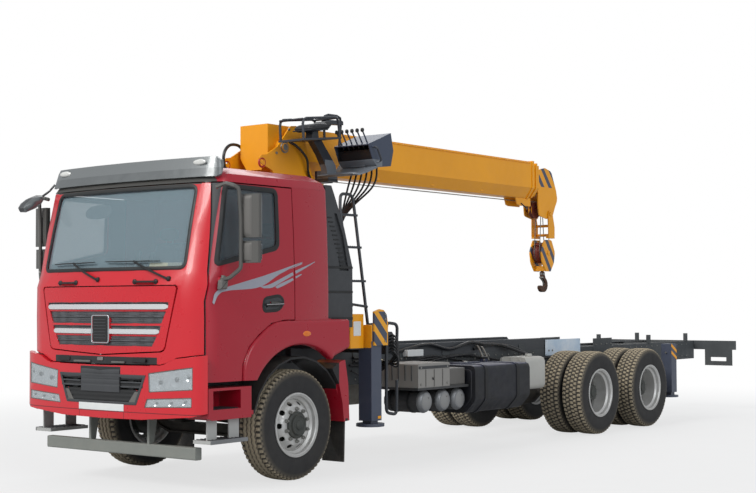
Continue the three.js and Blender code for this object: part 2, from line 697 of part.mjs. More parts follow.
function turret() {
  const base = rod('z', 0, SLEW_Y, 300, SLEW_RING_TOP + 5, 1700, 20);
  const plate = cut(prism('x', TURRET_PLATE, 250, 268), rod('x', BOOM_PIVOT.y, BOOM_PIVOT.z, 48, 200, 300));
  const column = prism(
    'x', [[1060, 1690], [1440, 1690], [1290, 2900], [1150, 3090], [1060, 3090], [1060, 2400]], -250, 250,
  );
  const footLug = prism('x', [
    [1430, 1700], [1640, 1700], [1610, 1830], [1560, 1848], [1510, 1830], [1430, 1780],
  ], 72, 100);
  const floor = block(-250, 250, 1430, 1640, 1690, 1702);
  const liftingEar = cut(
    prism(
      'x', [[640, 3140], [520, 3180], [452, 3212], [440, 3262], [480, 3292], [560, 3305], [640, 3330]], 251,
      267,
    ),
    rod('x', 486, 3244, 17, 200, 300, 10),
  );
  const drum = join(
    rod('x', 960, 2350, 120, -160, 160, 14), both(rod('x', 960, 2350, 165, 150, 165, 14)),
    rod('x', 960, 2350, 45, -255, 255, 10),
  );
  return join(base, both(join(plate, liftingEar)), column, both(footLug), floor, drum);
}
part('turret', turret(), 'craneYellow');

// Bent arm off the column with a tube-framed seat in front, and a foot pan and a hooded lever bank
// behind it.
function operatorStation() {
  const root = block(268 + GAP, 400, 1330, 1480, 3050, 3180);
  const arm = prism('x', [
    [1330, 3060], [1490, 3060], [1450, 3240], [1330, 3370], [1210, 3500], [1070, 3484], [1200, 3340],
    [1290, 3210],
  ], 385, 465);
  const seatPlate = prism('x', [[650, 3428], [1270, 3500], [1270, 3522], [650, 3450]], 345, 700);
  const rail = (x) => bar([
    [x, 668, 3440], [x, 650, 3662, 60], [x, 1228, 3732, 60], [x, 1260, 3510],
  ], 15);
  const crossRail = (y, z) => bar([[362, y, z], [683, y, z]], 13, 6);
  const spike = bar([[525, 660, 3660], [525, 520, 3640]], 14, 6);
  const hoop = bar([
    [470, 1255, 3508], [470, 1245, 3782, 70], [470, 1545, 3788, 70], [470, 1505, 3445],
  ], 15);
  const backPad = prism('x', [[1240, 3672], [1540, 3690], [1540, 3738, 20], [1240, 3722, 20]], 438, 502);
  const pan = prism('x', [
    [1290, 3118], [1330, 3100], [1640, 3205], [1700, 3270], [1688, 3282], [1630, 3222], [1332, 3120],
    [1300, 3134],
  ], 330, 925).intersect(prism('z', [
    [330, 1280, 20], [925, 1280, 130], [925, 1710, 130], [330, 1710, 20],
  ], 3000, 3400));
  const hood = cut(
    prism(
      'x', [[1476, 3449], [1875, 3602], [1920, 3408], [1873, 3235], [1635, 3212], [1555, 3278]], 420, 905,
    ),
    prism('x', [
      [1400, 3407], [1868, 3587], [1908, 3408], [1864, 3246], [1641, 3224], [1558, 3292], [1400, 3290],
    ], 428, 897),
  );
  const valves = prism('x', [[1590, 3296], [1556, 3400], [1650, 3440], [1730, 3400], [1730, 3296]], 427, 898);
  const valveFoot = block(560, 760, 1600, 1720, 3222, 3298);
  const levers = [0, 1, 2, 3, 4, 5].map((index) => {
    const x = 480 + 72 * index;
    return bar([[x, 1585, 3405], [x, 1455, 3596]], 9, 5);
  });
  const grip = bar(
    [[900, 1530, 3430], [962, 1560, 3410, 30], [962, 1640, 3270, 30], [900, 1620, 3262]], 11, 6,
  );
  return join(
    root, arm, seatPlate, rail(362), rail(683), crossRail(652, 3655), crossRail(1226, 3724),
    spike, hoop, backPad,
    pan, hood, valves, valveFoot, ...levers, grip,
  );
}
part('operator_station', operatorStation(), 'blackPaint');

function operatorSeat() {
  const side = [
    [778, 3590], [800, 3562], [880, 3552], [1010, 3562], [1120, 3590], [1186, 3640], [1180, 3672],
    [1100, 3690],
    [960, 3680], [830, 3652], [782, 3622],
  ];
  const plan = [[378, 800, 60], [378, 1160, 100], [672, 1160, 100], [672, 800, 60]];
  const pad = prism('x', side, 370, 680).intersect(prism('z', plan, 3500, 3750));
  const stem = prism('x', [[930, 3484], [1040, 3497], [1030, 3580], [940, 3570]], 475, 575);
  return join(pad, stem);
}
part('operator_seat', operatorSeat(), 'seatCloth');

// ---------------------------------------------------------------- luffing cylinder

function luffBarrel() {
  const { y, z } = LUFF_FOOT;
  const tube = cut(rod('z', 0, y, 88, z + 78, 2924, 14), rod('z', 0, y, 66, z + 105, 3000, 12));
  const eye = cut(
    join(rod('x', y, z, 62, -62, 62), block(-55, 55, y - 55, y + 55, z, z + 90)),
    rod('x', y, z, 30, -80, 80, 10),
  );
  return join(tube, eye);
}
part('luff_barrel', luffBarrel(), 'craneYellow');

function luffRod() {
  const { y, z } = LUFF_EYE;
  const piston = rod('z', 0, LUFF_FOOT.y, 58, LUFF_FOOT.z + 115, LUFF_FOOT.z + 190, 12);
  const shaft = rod('z', 0, LUFF_FOOT.y, 46, LUFF_FOOT.z + 120, z - 10, 12);
  const eye = cut(rod('x', y, z, 45, -46, 46), rod('x', y, z, 24, -80, 80, 10));
  return join(piston, cut(shaft, rod('x', y, z, 24, -80, 80, 10)), eye);
}
part('luff_rod', luffRod(), 'chrome');

// ---------------------------------------------------------------- telescopic boom

const BOOM_STEP = 26;
const BOOM_WALL = 9;
const BOOM_SECTIONS = [
  { from: 640, to: 5990, collar: 40 },
  { from: 1200, to: 6110, collar: 34 },
  { from: 1300, to: 6190, collar: 30 },
  { from: 1400, to: 6320, collar: 0 },
];

// Six-sided section: upright sides, and a lower part that narrows to the bottom plate.
function boomOutline(inset) {
  const half = BOOM.half - inset;
  return mirroredOutline([
    [105 - 0.518 * inset, BOOM.bottom + inset], [half, BOOM.bottom + 135 + 0.316 * inset],
    [half, BOOM.top - inset],
  ]);
}

function boomTube(index) {
  const { from, to, collar } = BOOM_SECTIONS[index];
  const inset = BOOM_STEP * index;
  const tube = prism('y', boomOutline(inset), from, to);
  const bore = prism('y', boomOutline(inset + BOOM_WALL), from - 50, to + 50);
  const band = prism('y', boomOutline(inset - (index === 0 ? 12 : 16)), to - collar, to + 6);
  return cut(collar > 0 ? join(tube, band) : tube, bore);
}

function boomRoot() {
  const pivot = both(cut(
    rod('x', BOOM_PIVOT.y, BOOM_PIVOT.z, 80, 195, 243, 14),
  ));
  const pin = both(rod('x', BOOM_PIVOT.y, BOOM_PIVOT.z, 44, 240, 285, 14));
  const ears = both(prism('x', [
    [1370, BOOM.bottom + 3], [1480, 2960], [1520, 2935, 20], [1580, 2935, 20], [1620, 2960],
    [1760, BOOM.bottom + 3],
  ], 58, 84));
  const endPlate = prism('y', boomOutline(3), 640, 652);
  const rollerBracket = join(
    both(prism(
      'x', [[5700, BOOM.bottom + 2], [5740, 3060], [5800, 3045], [6080, 3045], [6080, BOOM.bottom + 2]], 80,
      96,
    )),
    rod('x', 6030, 3085, 26, -90, 90, 10),
  );
  return join(boomTube(0), pivot, pin, ears, endPlate, rollerBracket);
}
part('boom_section_1', boomRoot(), 'craneYellow');
part('boom_section_2', boomTube(1), 'craneYellow');
part('boom_section_3', boomTube(2), 'craneYellow');

function boomHead() {
  const cheek = cut(
    prism('x', [
      [6235, 3560], [6420, 3600, 40], [6590, 3560, 60], [6720, 3300, 60], [6752, 3170, 60],
      [6690, 3070, 40], [6600, 2900, 40],
      [6460, 2890, 40], [6260, 2930, 40], [6235, 3100],
    ], 108, 124),
  );
  const spacers = join(
    block(-112, 112, 6235, 6330, 3240, 3265), block(-112, 112, 6235, 6520, 3530, 3555),
    rod('x', 6640, 3170, 36, -112, 112, 10), rod('x', 6330, 3010, 36, -112, 112, 10),
  );
  const sheave = (y, z) => turned([
    [0, -26], [118, -26], [100, 0], [118, 26], [0, 26],
  ], y, z, 14);
  const pin = rod('x', HOOK_Y, 2960, 26, -150, 150, 10);
  return join(boomTube(3), both(cheek), spacers, sheave(6640, 3170), sheave(6330, 3010), pin);
}
part('boom_section_4', boomHead(), 'craneYellow');

function hookFrame() {
  const plate = cut(prism('x', [
    [HOOK_Y - 50, 2960], [HOOK_Y - 30, 3005], [HOOK_Y + 30, 3005], [HOOK_Y + 60, 2960], [HOOK_Y + 110, 2780],
    [HOOK_Y + 110, 2640, 20], [HOOK_Y - 50, 2640, 20],
  ], 130, 142), rod('x', HOOK_Y, 2960, 29, 100, 160, 10));
  const rods = [2800, 2670].map((z) => rod('x', HOOK_Y + 70, z, 20, -132, 132, 8));
  const stop = block(-132, 132, HOOK_Y - 45, HOOK_Y + 105, 2625, 2645);
  return join(both(plate), ...rods, both(block(95, 142, HOOK_Y - 48, HOOK_Y + 108, 2622, 2650)));
}
part('hook_frame', hookFrame(), 'craneYellow');

function hookBlock() {
  const cheek = prism('x', [
    [HOOK_Y - 90, 2600, 40], [HOOK_Y + 90, 2600, 40], [HOOK_Y + 180, 2430, 60], [HOOK_Y + 150, 2280, 60],
    [HOOK_Y + 60, 2160],
    [HOOK_Y - 60, 2160], [HOOK_Y - 150, 2280, 60], [HOOK_Y - 180, 2430, 60],
  ], 82, 102);
  const sheaves = turned([
    [0, -60], [150, -60], [130, -42], [150, -24], [130, 0], [150, 24], [130, 42], [150, 60], [0, 60],
  ], HOOK_Y, 2420, 14);
  const axle = rod('x', HOOK_Y, 2420, 32, -112, 112, 10);
  const yoke = cut(block(
    -90, 90, HOOK_Y - 55, HOOK_Y + 55, 2165, 2235,
  ), rod('z', 0, HOOK_Y, 33, 2100, 2300, 10));
  const spacers = [[-100, 2530], [100, 2530]].map(([y, z]) => rod('x', HOOK_Y + y, z, 14, -86, 86, 6));
  return join(both(cheek), sheaves, axle, yoke, ...spacers);
}
part('hook_block', hookBlock(), 'craneYellow');

function hook() {
  const bend = prism('x', [
    [HOOK_Y - 28, 2150], [HOOK_Y + 28, 2150], [HOOK_Y + 30, 2105], ...arc(HOOK_Y, 1975, 105, 62, -150, 9),
    [HOOK_Y - 92, 1950], [HOOK_Y - 62, 1965], ...arc(HOOK_Y, 1985, 52, -140, 50, 6), [HOOK_Y - 20, 2060],
  ], -26, 26);
  const shank = rod('z', 0, HOOK_Y, 24, 2130, 2228, 10);
  const nut = rod('z', 0, HOOK_Y, 30, 2118, 2156, 10);
  return join(bend, shank, nut);
}
part('hook', hook(), 'hookIron');

// ---------------------------------------------------------------- cab shell

const CAB_LEVELS = [
  { z: 990, front: -1471, bow: 130, run: 250, depth: 200, half: 1240, rear: CAB_REAR },
  { z: 1600, front: -1474, bow: 130, run: 250, depth: 200, half: 1250, rear: CAB_REAR },
  { z: 1900, front: -1472, bow: 132, run: 250, depth: 200, half: 1250, rear: CAB_REAR },
  { z: 2030, front: -1444, bow: 160, run: 240, depth: 180, half: 1248, rear: CAB_REAR },
  { z: 2450, front: -1345, bow: 140, run: 220, depth: 150, half: 1235, rear: CAB_REAR },
  { z: 2860, front: -1228, bow: 112, run: 200, depth: 120, half: 1213, rear: CAB_REAR },
  { z: 2935, front: -1180, bow: 110, run: 190, depth: 120, half: 1188, rear: 395 },
  { z: 3000, front: -1050, bow: 100, run: 180, depth: 120, half: 1080, rear: 300 },
];

function cabRing(level, inset) {
  const side = level.half - inset;
  const back = level.rear - inset;
  return [
    ...frontPlan(level, inset), [side, back - 50], [side - 15, back - 15], [side - 50, back],
    [50 - side, back], [15 - side, back - 15], [-side, back - 50],
  ].map(([x, y]) => [x, y, level.z]);
}

// The cab's outer form moved inwards by an inset, with its top lowered by the roof drop.
function cabLoft(inset, roofDrop) {
  return loft(CAB_LEVELS.map((level) => {
    const lowered = level.z > 2900 ? roofDrop : 0;
    const below = level.z < 1000 ? inset : 0;
    return cabRing({ ...level, z: level.z - lowered - below }, inset);
  }));
}

const cabOuter = cabLoft(0, 0);
const cabInner = cabLoft(CAB_WALL, 55);
const cabShell = cut(cabOuter, cabInner);

const DOOR = [
  [-1265, 1020], [-1270, 1750], [-1230, 2000], [-1110, 2845], [-130, 2845], [-120, 1572], [-266, 1572],
  [-451, 1543], [-622, 1441], [-757, 1329], [-840, 1170], [-848, 1013], [-1255, 1013],
];
const DOOR_WINDOW = [[-1035, 2822, 40], [-350, 2812, 60], [-350, 2262, 60], [-1172, 2091, 40]];

function door() {
  const skin = cabShell.intersect(prism('x', DOOR, 950, 1300));
  const opening = prism('x', DOOR_WINDOW, 1000, 1300);
  const panel = cut(skin, opening);
  const handle = join(block(1240, 1266, -470, -340, 1722, 1746));
  const arm = bar([
    [1200, -1140, 2800], [1330, -1150, 2830, 60], [1425, -1080, 2790, 60], [1430, -1060, 2500],
    [1430, -1060, 2050, 60],
    [1340, -1120, 1960, 60], [1235, -1150, 1950],
  ], 19);
  const mirrors = join(
    prism('z', [[1370, -1040, 20], [1600, -1000, 30], [1600, -950, 20], [1370, -975, 20]], 2330, 2730),
    prism('z', [[1380, -1038, 20], [1590, -1000, 30], [1590, -950, 20], [1380, -975, 20]], 2100, 2300),
    bar(
      [[1430, -1060, 2620], [1430, -1000, 2620]], 15, 4,
    ), bar([[1430, -1060, 2200], [1430, -1000, 2200]], 15, 4),
  );
  return join(panel, handle, arm, mirrors);
}
part('door_left', door(), 'cabRed');
part('door_right', opposite(door()), 'cabRed');

// Thin panes lie inside the wall thickness, GAP clear of the openings' edges.
const paneShell = cut(cabLoft(16, 20), cabLoft(21, 24));
const shrink = (corners, middle, by) => corners.map(([u, v, radius]) => [
  u + Math.sign(middle[0] - u) * by, v + Math.sign(middle[1] - v) * by, radius,
]);

function doorGlass() {
  return paneShell.intersect(prism('x', shrink(DOOR_WINDOW, [-750, 2500], GAP), 1080, 1300));
}
part('door_glass_left', doorGlass(), 'glass');
part('door_glass_right', opposite(doorGlass()), 'glass');

const WINDSCREEN = [[-1002, 2046, 80], [1002, 2046, 80], [985, 2835, 80], [-985, 2835, 80]];

function windscreen() {
  return paneShell.intersect(prism('y', shrink(WINDSCREEN, [0, 2450], GAP), -1600, -1000));
}
part('windscreen', windscreen(), 'glass');

const LID = [[945, 1893, 30], [800, 1297, 60]];

// The lid's outline, grown by one gap along its top and another along its bottom.
function lidOutline(growTop, growBottom) {
  const [top, bottom] = LID;
  return [
    [-top[0] - growTop, top[1] + Math.min(growTop, 10), top[2]],
    [-bottom[0] - growBottom, bottom[1] - growBottom, bottom[2]],
    [0, 1257 - growBottom],
    [bottom[0] + growBottom, bottom[1] - growBottom, bottom[2]],
    [top[0] + growTop, top[1] + Math.min(growTop, 10), top[2]],
  ];
}

function frontPanel() {
  const face = { front: -1474, bow: 131, run: 250, depth: 200, half: 1250 };
  const layer = (setback, thickness, z0, z1) => prism('z', band(frontPlan(face, setback), thickness), z0, z1);
  const sheet = layer(0, 35, 1240, 1900).intersect(prism('y', lidOutline(0, 0), -1700, -1200));
  const pocket = (corners) => layer(-40, 58, 1240, 1900).intersect(prism('y', corners, -1700, -1200));
  const upper = pocket([[-868, 1745, 20], [-772, 1550, 20], [772, 1550, 20], [868, 1745, 20]]);
  const lower = pocket([[-778, 1525, 20], [-662, 1340, 20], [662, 1340, 20], [778, 1525, 20]]);
  const bars = [[1660, 1700, 835], [1430, 1475, 728]].map(([z0, z1, x]) => (
    layer(4, 25, z0, z1).intersect(block(-x, x, -1600, -1200, 0, 2000))
  ));
  const badge = prism(
    'y', [[-130, 1365, 40], [130, 1365, 40], [130, 1623, 40], [-130, 1623, 40]], -1480, -1445,
  );
  return join(cut(sheet, upper, lower), ...bars, badge);
}
part('front_panel', frontPanel(), 'cabRed');

function cabFront() {
  const region = prism('x', [
    [-1700, 1160], [-1280, 1160], [-1280, 1290], [-1284, 1750], [-1244, 2000], [-1123, 2847], [-1700, 2847],
  ], -1300, 1300);
  const aboveBumper = prism(
    'y', mirroredOutline([...BUMPER_TOP.map(([x, z]) => [x, z + 12]), [1270, 3000]].reverse()), -1700,
    -1100,
  );
  const skin = cut(
    cabShell.intersect(region).intersect(aboveBumper),
    prism('y', lidOutline(21, 11), -1700, -1200),
    prism('y', WINDSCREEN, -1700, -1000),
  );
  const firewall = block(-1120, 1120, -1350, -1325, 1376, 1800).intersect(cabLoft(CAB_WALL + 4, 55));
  const dashSection = prism('x', [
    [-1420, 2020], [-1420, 1900], [-1345, 1900], [-1345, 1780], [-1100, 1700], [-1010, 1740, 30],
    [-1000, 1960, 40], [-1060, 2005, 20],
  ], -1085, 1085);
  const dash = dashSection.intersect(join(
    cabLoft(CAB_WALL + 8, 55),
    cabLoft(CAB_WALL - 15, 55).intersect(block(-880, 880, -1500, -1300, 1000, 3000)),
  ));
  const columns = both(block(860, 900, -1352, -1300, 1600, 1950).intersect(cabLoft(CAB_WALL - 15, 55)));
  return join(skin, firewall, columns, cut(dash, prism('y', lidOutline(21, 11), -1700, -1400)));
}
part('cab_front', cabFront(), 'cabRed');

function cabRoof() {
  return cabShell.intersect(block(-1300, 1300, -1500, 600, CAB_EAVES + GAP, 3100));
}
part('cab_roof', cabRoof(), 'cabRed');

// Side panel: the pillar behind the door, and the wing over the wheel that runs on behind the cab.
function cabSide() {
  const slab = block(1188, 1249, 300, 700, 1000, 1575);
  const { y, z, radius } = WHEEL_ARCH;
  const archTop = arc(y, z, radius, 144, 52, 8);
  const region = prism('x', [
    [-120, 2846], [-109, 1562], [-262, 1562], [-447, 1533], [-615, 1432], [-748, 1322], [-830, 1167],
    [-838, 1013],
    ...archTop, [470, 1200], [686, 1271], [662, 1567, 30], [CAB_REAR + 10, 1570],
    [CAB_REAR + 10, CAB_EAVES], [-120, CAB_EAVES],
  ], 1187, 1300);
  return join(cabShell, slab).intersect(region);
}
part('cab_side_left', cabSide(), 'cabRed');
part('cab_side_right', opposite(cabSide()), 'cabRed');

function cabRearWall() {
  const wall = cabShell.intersect(block(-1187 + GAP, 1187 - GAP, 300, 600, CAB_FLOOR, CAB_EAVES));
  return cut(wall, block(-456, 456, 200, 600, 1000, 1606));
}
part('cab_rear_wall', cabRearWall(), 'cabRed');

function cabFloor() {
  const deck = prism('y', [
    [-1180, 1340], [-420, 1340], [-420, 1570], [420, 1570], [420, 1340], [1180, 1340], [1180, 1375],
    [455, 1375],
    [455, 1605], [-455, 1605], [-455, 1375], [-1180, 1375],
  ], -1325 + GAP, 360 - GAP);
  const corner = block(1078, 1300, -1400, -1170, 1300, 1400);
  return cut(deck.intersect(cabLoft(CAB_WALL + 7, 55)), both(corner));
}
part('cab_floor', cabFloor(), 'darkPlastic');

function cabSeats() {
  const shelf = block(-1100, 1100, 80, 340, 1605 + GAP, 1900);
  const seat = (x) => join(
    prism('x', [
      [-560, 1700], [-80, 1670], [20, 1650], [110, 1700], [150, 2380, 20], [40, 2380, 20], [-20, 1830],
      [-560, 1800],
    ], x - 250, x + 250),
    block(x - 130, x + 130, 45, 135, 2370, 2540),
    block(x - 160, x + 160, -480, 100, 1375 + GAP, 1690),
  );
  return join(shelf, seat(720), seat(-720));
}
part('cab_seats', cabSeats(), 'seatCloth');

function sunVisor() {
  const plan = band(frontPlan({ front: -1228, bow: 104, run: 160, depth: 60, half: 1187 }), 22);
  const sheet = loft([[2858, -17], [3146, 85]].map(([z, back]) => plan.map(([x, y]) => [x, y + back, z])));
  const blade = sheet.intersect(prism('y', [
    [-1160, 2906], [1160, 2906], [1186, 2934], [1160, 3062], [1110, 3098], [-1110, 3098],
    [-1160, 3062], [-1186, 2934],
  ], -1300, -900));
  const stays = [[-900, -1113], [-300, -1166], [300, -1166], [900, -1113]].map(([x, inner]) => (
    prism('x', [
      [inner - 6, 3000 + GAP], [inner + 160, 3000 + GAP], [inner + 160, 3007], [inner + 12, 3060],
    ], x - 8, x + 8)
  ));
  const mirrorArm = bar([[-1170, -1086, 2952], [-1238, -1105, 2885, 40], [-1228, -1235, 2808]], 12, 6);
  const [along, over] = [[-0.88, -0.475], [-0.475, 0.88]];
  const mirrorHead = loft([
    [-1312, 0.35], [-1288, 0.8], [-1235, 1], [-1182, 0.8], [-1158, 0.35],
  ].map(([x, size]) => (
    circle(0, 0, 1, 10).map(([u, v]) => [
      x,
      -1336 + size * (168 * u * along[0] + 62 * v * over[0]),
      2748 + size * (168 * u * along[1] + 62 * v * over[1]),
    ])
  )));
  return join(blade, ...stays, mirrorArm, mirrorHead);
}
part('sun_visor', sunVisor(), 'visorGrey');

function airIntake() {
  const stack = prism('x', [
    [CAB_REAR + GAP, 1480], [850, 1480], [850, 2100], [718, 2500], [552, 2850], [515, 2920],
    [CAB_REAR + GAP, 2920],
  ], 950, 1186);
  const louvre = prism('x', [[640, 2060], [790, 2060], [700, 2420], [600, 2640], [560, 2640]], 1160, 1300);
  return cut(stack, louvre);
}
part('air_intake', airIntake(), 'darkPlastic');

export default crane;
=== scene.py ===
"""Finishes and fittings for a truck-mounted crane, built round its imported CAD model.

Sizes are millimetres from the front axle line (y), the centreline (x) and the ground (z), and
place() turns them into the frame's metres. The truck faces -y and its left side is +x.
"""

import json
import math

import bmesh
import bpy
import numpy as np
from mathutils import Matrix, Vector


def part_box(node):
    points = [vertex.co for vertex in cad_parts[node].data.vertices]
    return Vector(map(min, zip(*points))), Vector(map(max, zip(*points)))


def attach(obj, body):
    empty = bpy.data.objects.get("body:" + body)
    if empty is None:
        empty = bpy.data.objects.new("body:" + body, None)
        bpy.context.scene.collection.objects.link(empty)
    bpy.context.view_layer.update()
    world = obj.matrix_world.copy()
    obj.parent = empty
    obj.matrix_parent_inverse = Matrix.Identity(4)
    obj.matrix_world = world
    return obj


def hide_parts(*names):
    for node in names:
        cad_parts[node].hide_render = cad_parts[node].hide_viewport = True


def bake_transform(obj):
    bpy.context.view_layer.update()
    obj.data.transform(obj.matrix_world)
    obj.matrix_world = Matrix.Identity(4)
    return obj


bl_info = {
    "name": "Truck crane finishes and fittings",
    "version": (1, 0, 0),
    "blender": (4, 5, 0),
    "location": "View3D > Sidebar > Crane",
    "description": "Tyres, lamps, trim, seats, hoses, rope and paint for a truck-mounted crane",
    "category": "Add Mesh",
}

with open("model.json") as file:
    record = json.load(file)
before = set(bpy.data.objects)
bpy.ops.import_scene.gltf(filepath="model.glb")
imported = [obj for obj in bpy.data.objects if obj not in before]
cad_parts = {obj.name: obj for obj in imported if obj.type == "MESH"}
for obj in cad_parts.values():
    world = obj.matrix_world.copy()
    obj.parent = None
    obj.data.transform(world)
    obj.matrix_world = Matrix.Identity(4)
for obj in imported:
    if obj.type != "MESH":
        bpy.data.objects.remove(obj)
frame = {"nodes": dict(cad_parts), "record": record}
NODES = frame["nodes"]
BODY_OF = {
    node: body for body, nodes in frame["record"]["behaviour"]["bodies"].items() for node in nodes
}
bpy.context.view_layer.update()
FRONT_AXLE = sum(corner.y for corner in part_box("wheel_front_left")) / 2
AXLE_HEIGHT = 1000 * sum(corner.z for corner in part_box("wheel_front_left")) / 2
DRIVE_AXLES = [1000 * (sum(corner.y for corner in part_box(f"wheel_rear_{n}_left")) / 2 - FRONT_AXLE) for n in (1, 2)]
FINISHES = {}
SIDES = ((1, "left"), (-1, "right"))
SAME_SPOT = 2e-5  # metres within which two points are one


def place(points):
    """Millimetres from the front axle line to metres in the frame: divide, then shift along y."""
    return np.asarray(points, float) / 1000 + (0, FRONT_AXLE, 0)


def linear(code):
    """An sRGB hex colour as linear RGBA: the sRGB curve undone channel by channel."""
    channels = np.array([(code >> shift) & 255 for shift in (16, 8, 0)]) / 255
    undone = np.where(channels <= 0.04045, channels / 12.92, ((channels + 0.055) / 1.055) ** 2.4)
    return (*undone.tolist(), 1.0)


# ---------------------------------------------------------------- curves and outlines


def eased(corners, size, limit, steps):
    """Chain through corners whose radius, when given, follows their coordinates: each such corner
    becomes the curve (1-t)^2 start + 2t(1-t) corner + t^2 end, within a limit of each side's length."""
    plain = np.array([corner[:size] for corner in corners], float)
    t = np.linspace(0, 1, steps + 1)[:, None]
    out = []
    for index, corner in enumerate(corners):
        radius = corner[size] if len(corner) > size else 0
        if not radius:
            out.append(plain[index][None])
            continue
        start, end = (
            plain[index] + way / np.linalg.norm(way) * min(radius, np.linalg.norm(way) * limit)
            for way in (plain[index - 1] - plain[index], plain[(index + 1) % len(plain)] - plain[index])
        )
        out.append((1 - t) ** 2 * start + 2 * t * (1 - t) * plain[index] + t**2 * end)
    return np.concatenate(out)


def rounded(corners, steps=5):
    """Closed outline through [u, v, radius] corners."""
    return eased(corners, 2, 0.49, steps)


def bent(route, steps=6):
    """Open route through [x, y, z, radius] corners."""
    return eased(route, 3, 0.48, steps)


def rect(u0, u1, v0, v1, radius=0):
    """Corners of a rectangle, each with the same radius."""
    return [(u0, v0, radius), (u1, v0, radius), (u1, v1, radius), (u0, v1, radius)]


def span(side, inner, outer):
    """Low and high x of a part on one side of the truck."""
    return sorted((side * inner, side * outer))


def xyz(x, y, z):
    """Coordinates, broadcast to one shape, as points."""
    return np.stack(np.broadcast_arrays(x, y, z), -1)


def inset(outline, by):
    """Outline moved inwards: each point goes along the sum of its two edge normals, divided by one
    plus their dot product, times the distance."""
    edge = np.roll(outline, -1, 0) - outline
    edge = edge / np.maximum(np.linalg.norm(edge, axis=1, keepdims=True), 1e-9)
    u, v = outline.T
    turn = np.sign(np.sum(u * np.roll(v, -1) - v * np.roll(u, -1)))
    normal = turn * np.stack([-edge[:, 1], edge[:, 0]], 1)
    before = np.roll(normal, 1, 0)
    dot = np.sum(normal * before, axis=1, keepdims=True)
    return outline + by * (normal + before) / np.maximum(1 + dot, 0.4)


def resample(points, count, closed=False):
    """Points spaced evenly by length along a chain."""
    points = np.asarray(points, float)
    if closed:
        points = np.concatenate([points, points[:1]])
    run = np.concatenate([[0], np.cumsum(np.linalg.norm(np.diff(points, axis=0), axis=1))])
    where = np.linspace(0, run[-1], count + 1)[:-1] if closed else np.linspace(0, run[-1], count)
    return np.stack([np.interp(where, run, points[:, k]) for k in range(points.shape[1])], 1)


def flow(points, count=36):
    """Smooth chain through points: on each span the cubic 0.5(2b + (c-a)t + (2a-5b+4c-d)t^2 +
    (3b-a-3c+d)t^3) of the four points around it."""
    points = np.asarray(points, float)
    padded = np.concatenate([2 * points[:1] - points[1:2], points, 2 * points[-1:] - points[-2:-1]])
    spot = np.linspace(0, len(points) - 1 - 1e-6, count)
    k = spot.astype(int)
    t = (spot - k)[:, None]
    a, b, c, d = padded[k], padded[k + 1], padded[k + 2], padded[k + 3]
    return 0.5 * (2 * b + (c - a) * t + (2 * a - 5 * b + 4 * c - d) * t**2 + (3 * b - a - 3 * c + d) * t**3)


def circle(radius, sides=12):
    """Points of (radius cos t, radius sin t)."""
    turn = 2 * np.pi * np.arange(sides) / sides
    return np.stack([radius * np.cos(turn), radius * np.sin(turn)], 1)


# ---------------------------------------------------------------- surfaces

AXES = {"x": (1, 2, 0), "y": (0, 2, 1), "z": (0, 1, 2)}


def lay(u, v, w, axis):
    """Outline coordinates (u, v) and a distance w along an axis as points: (y, z), (x, z) or (x, y)."""
    out = np.zeros(np.broadcast(u, v, w).shape + (3,))
    for value, column in zip((u, v, w), AXES[axis]):
        out[..., column] = value
    return out


# A ripple this deep, in mm, takes the tint away.
TINT_FADE = 15


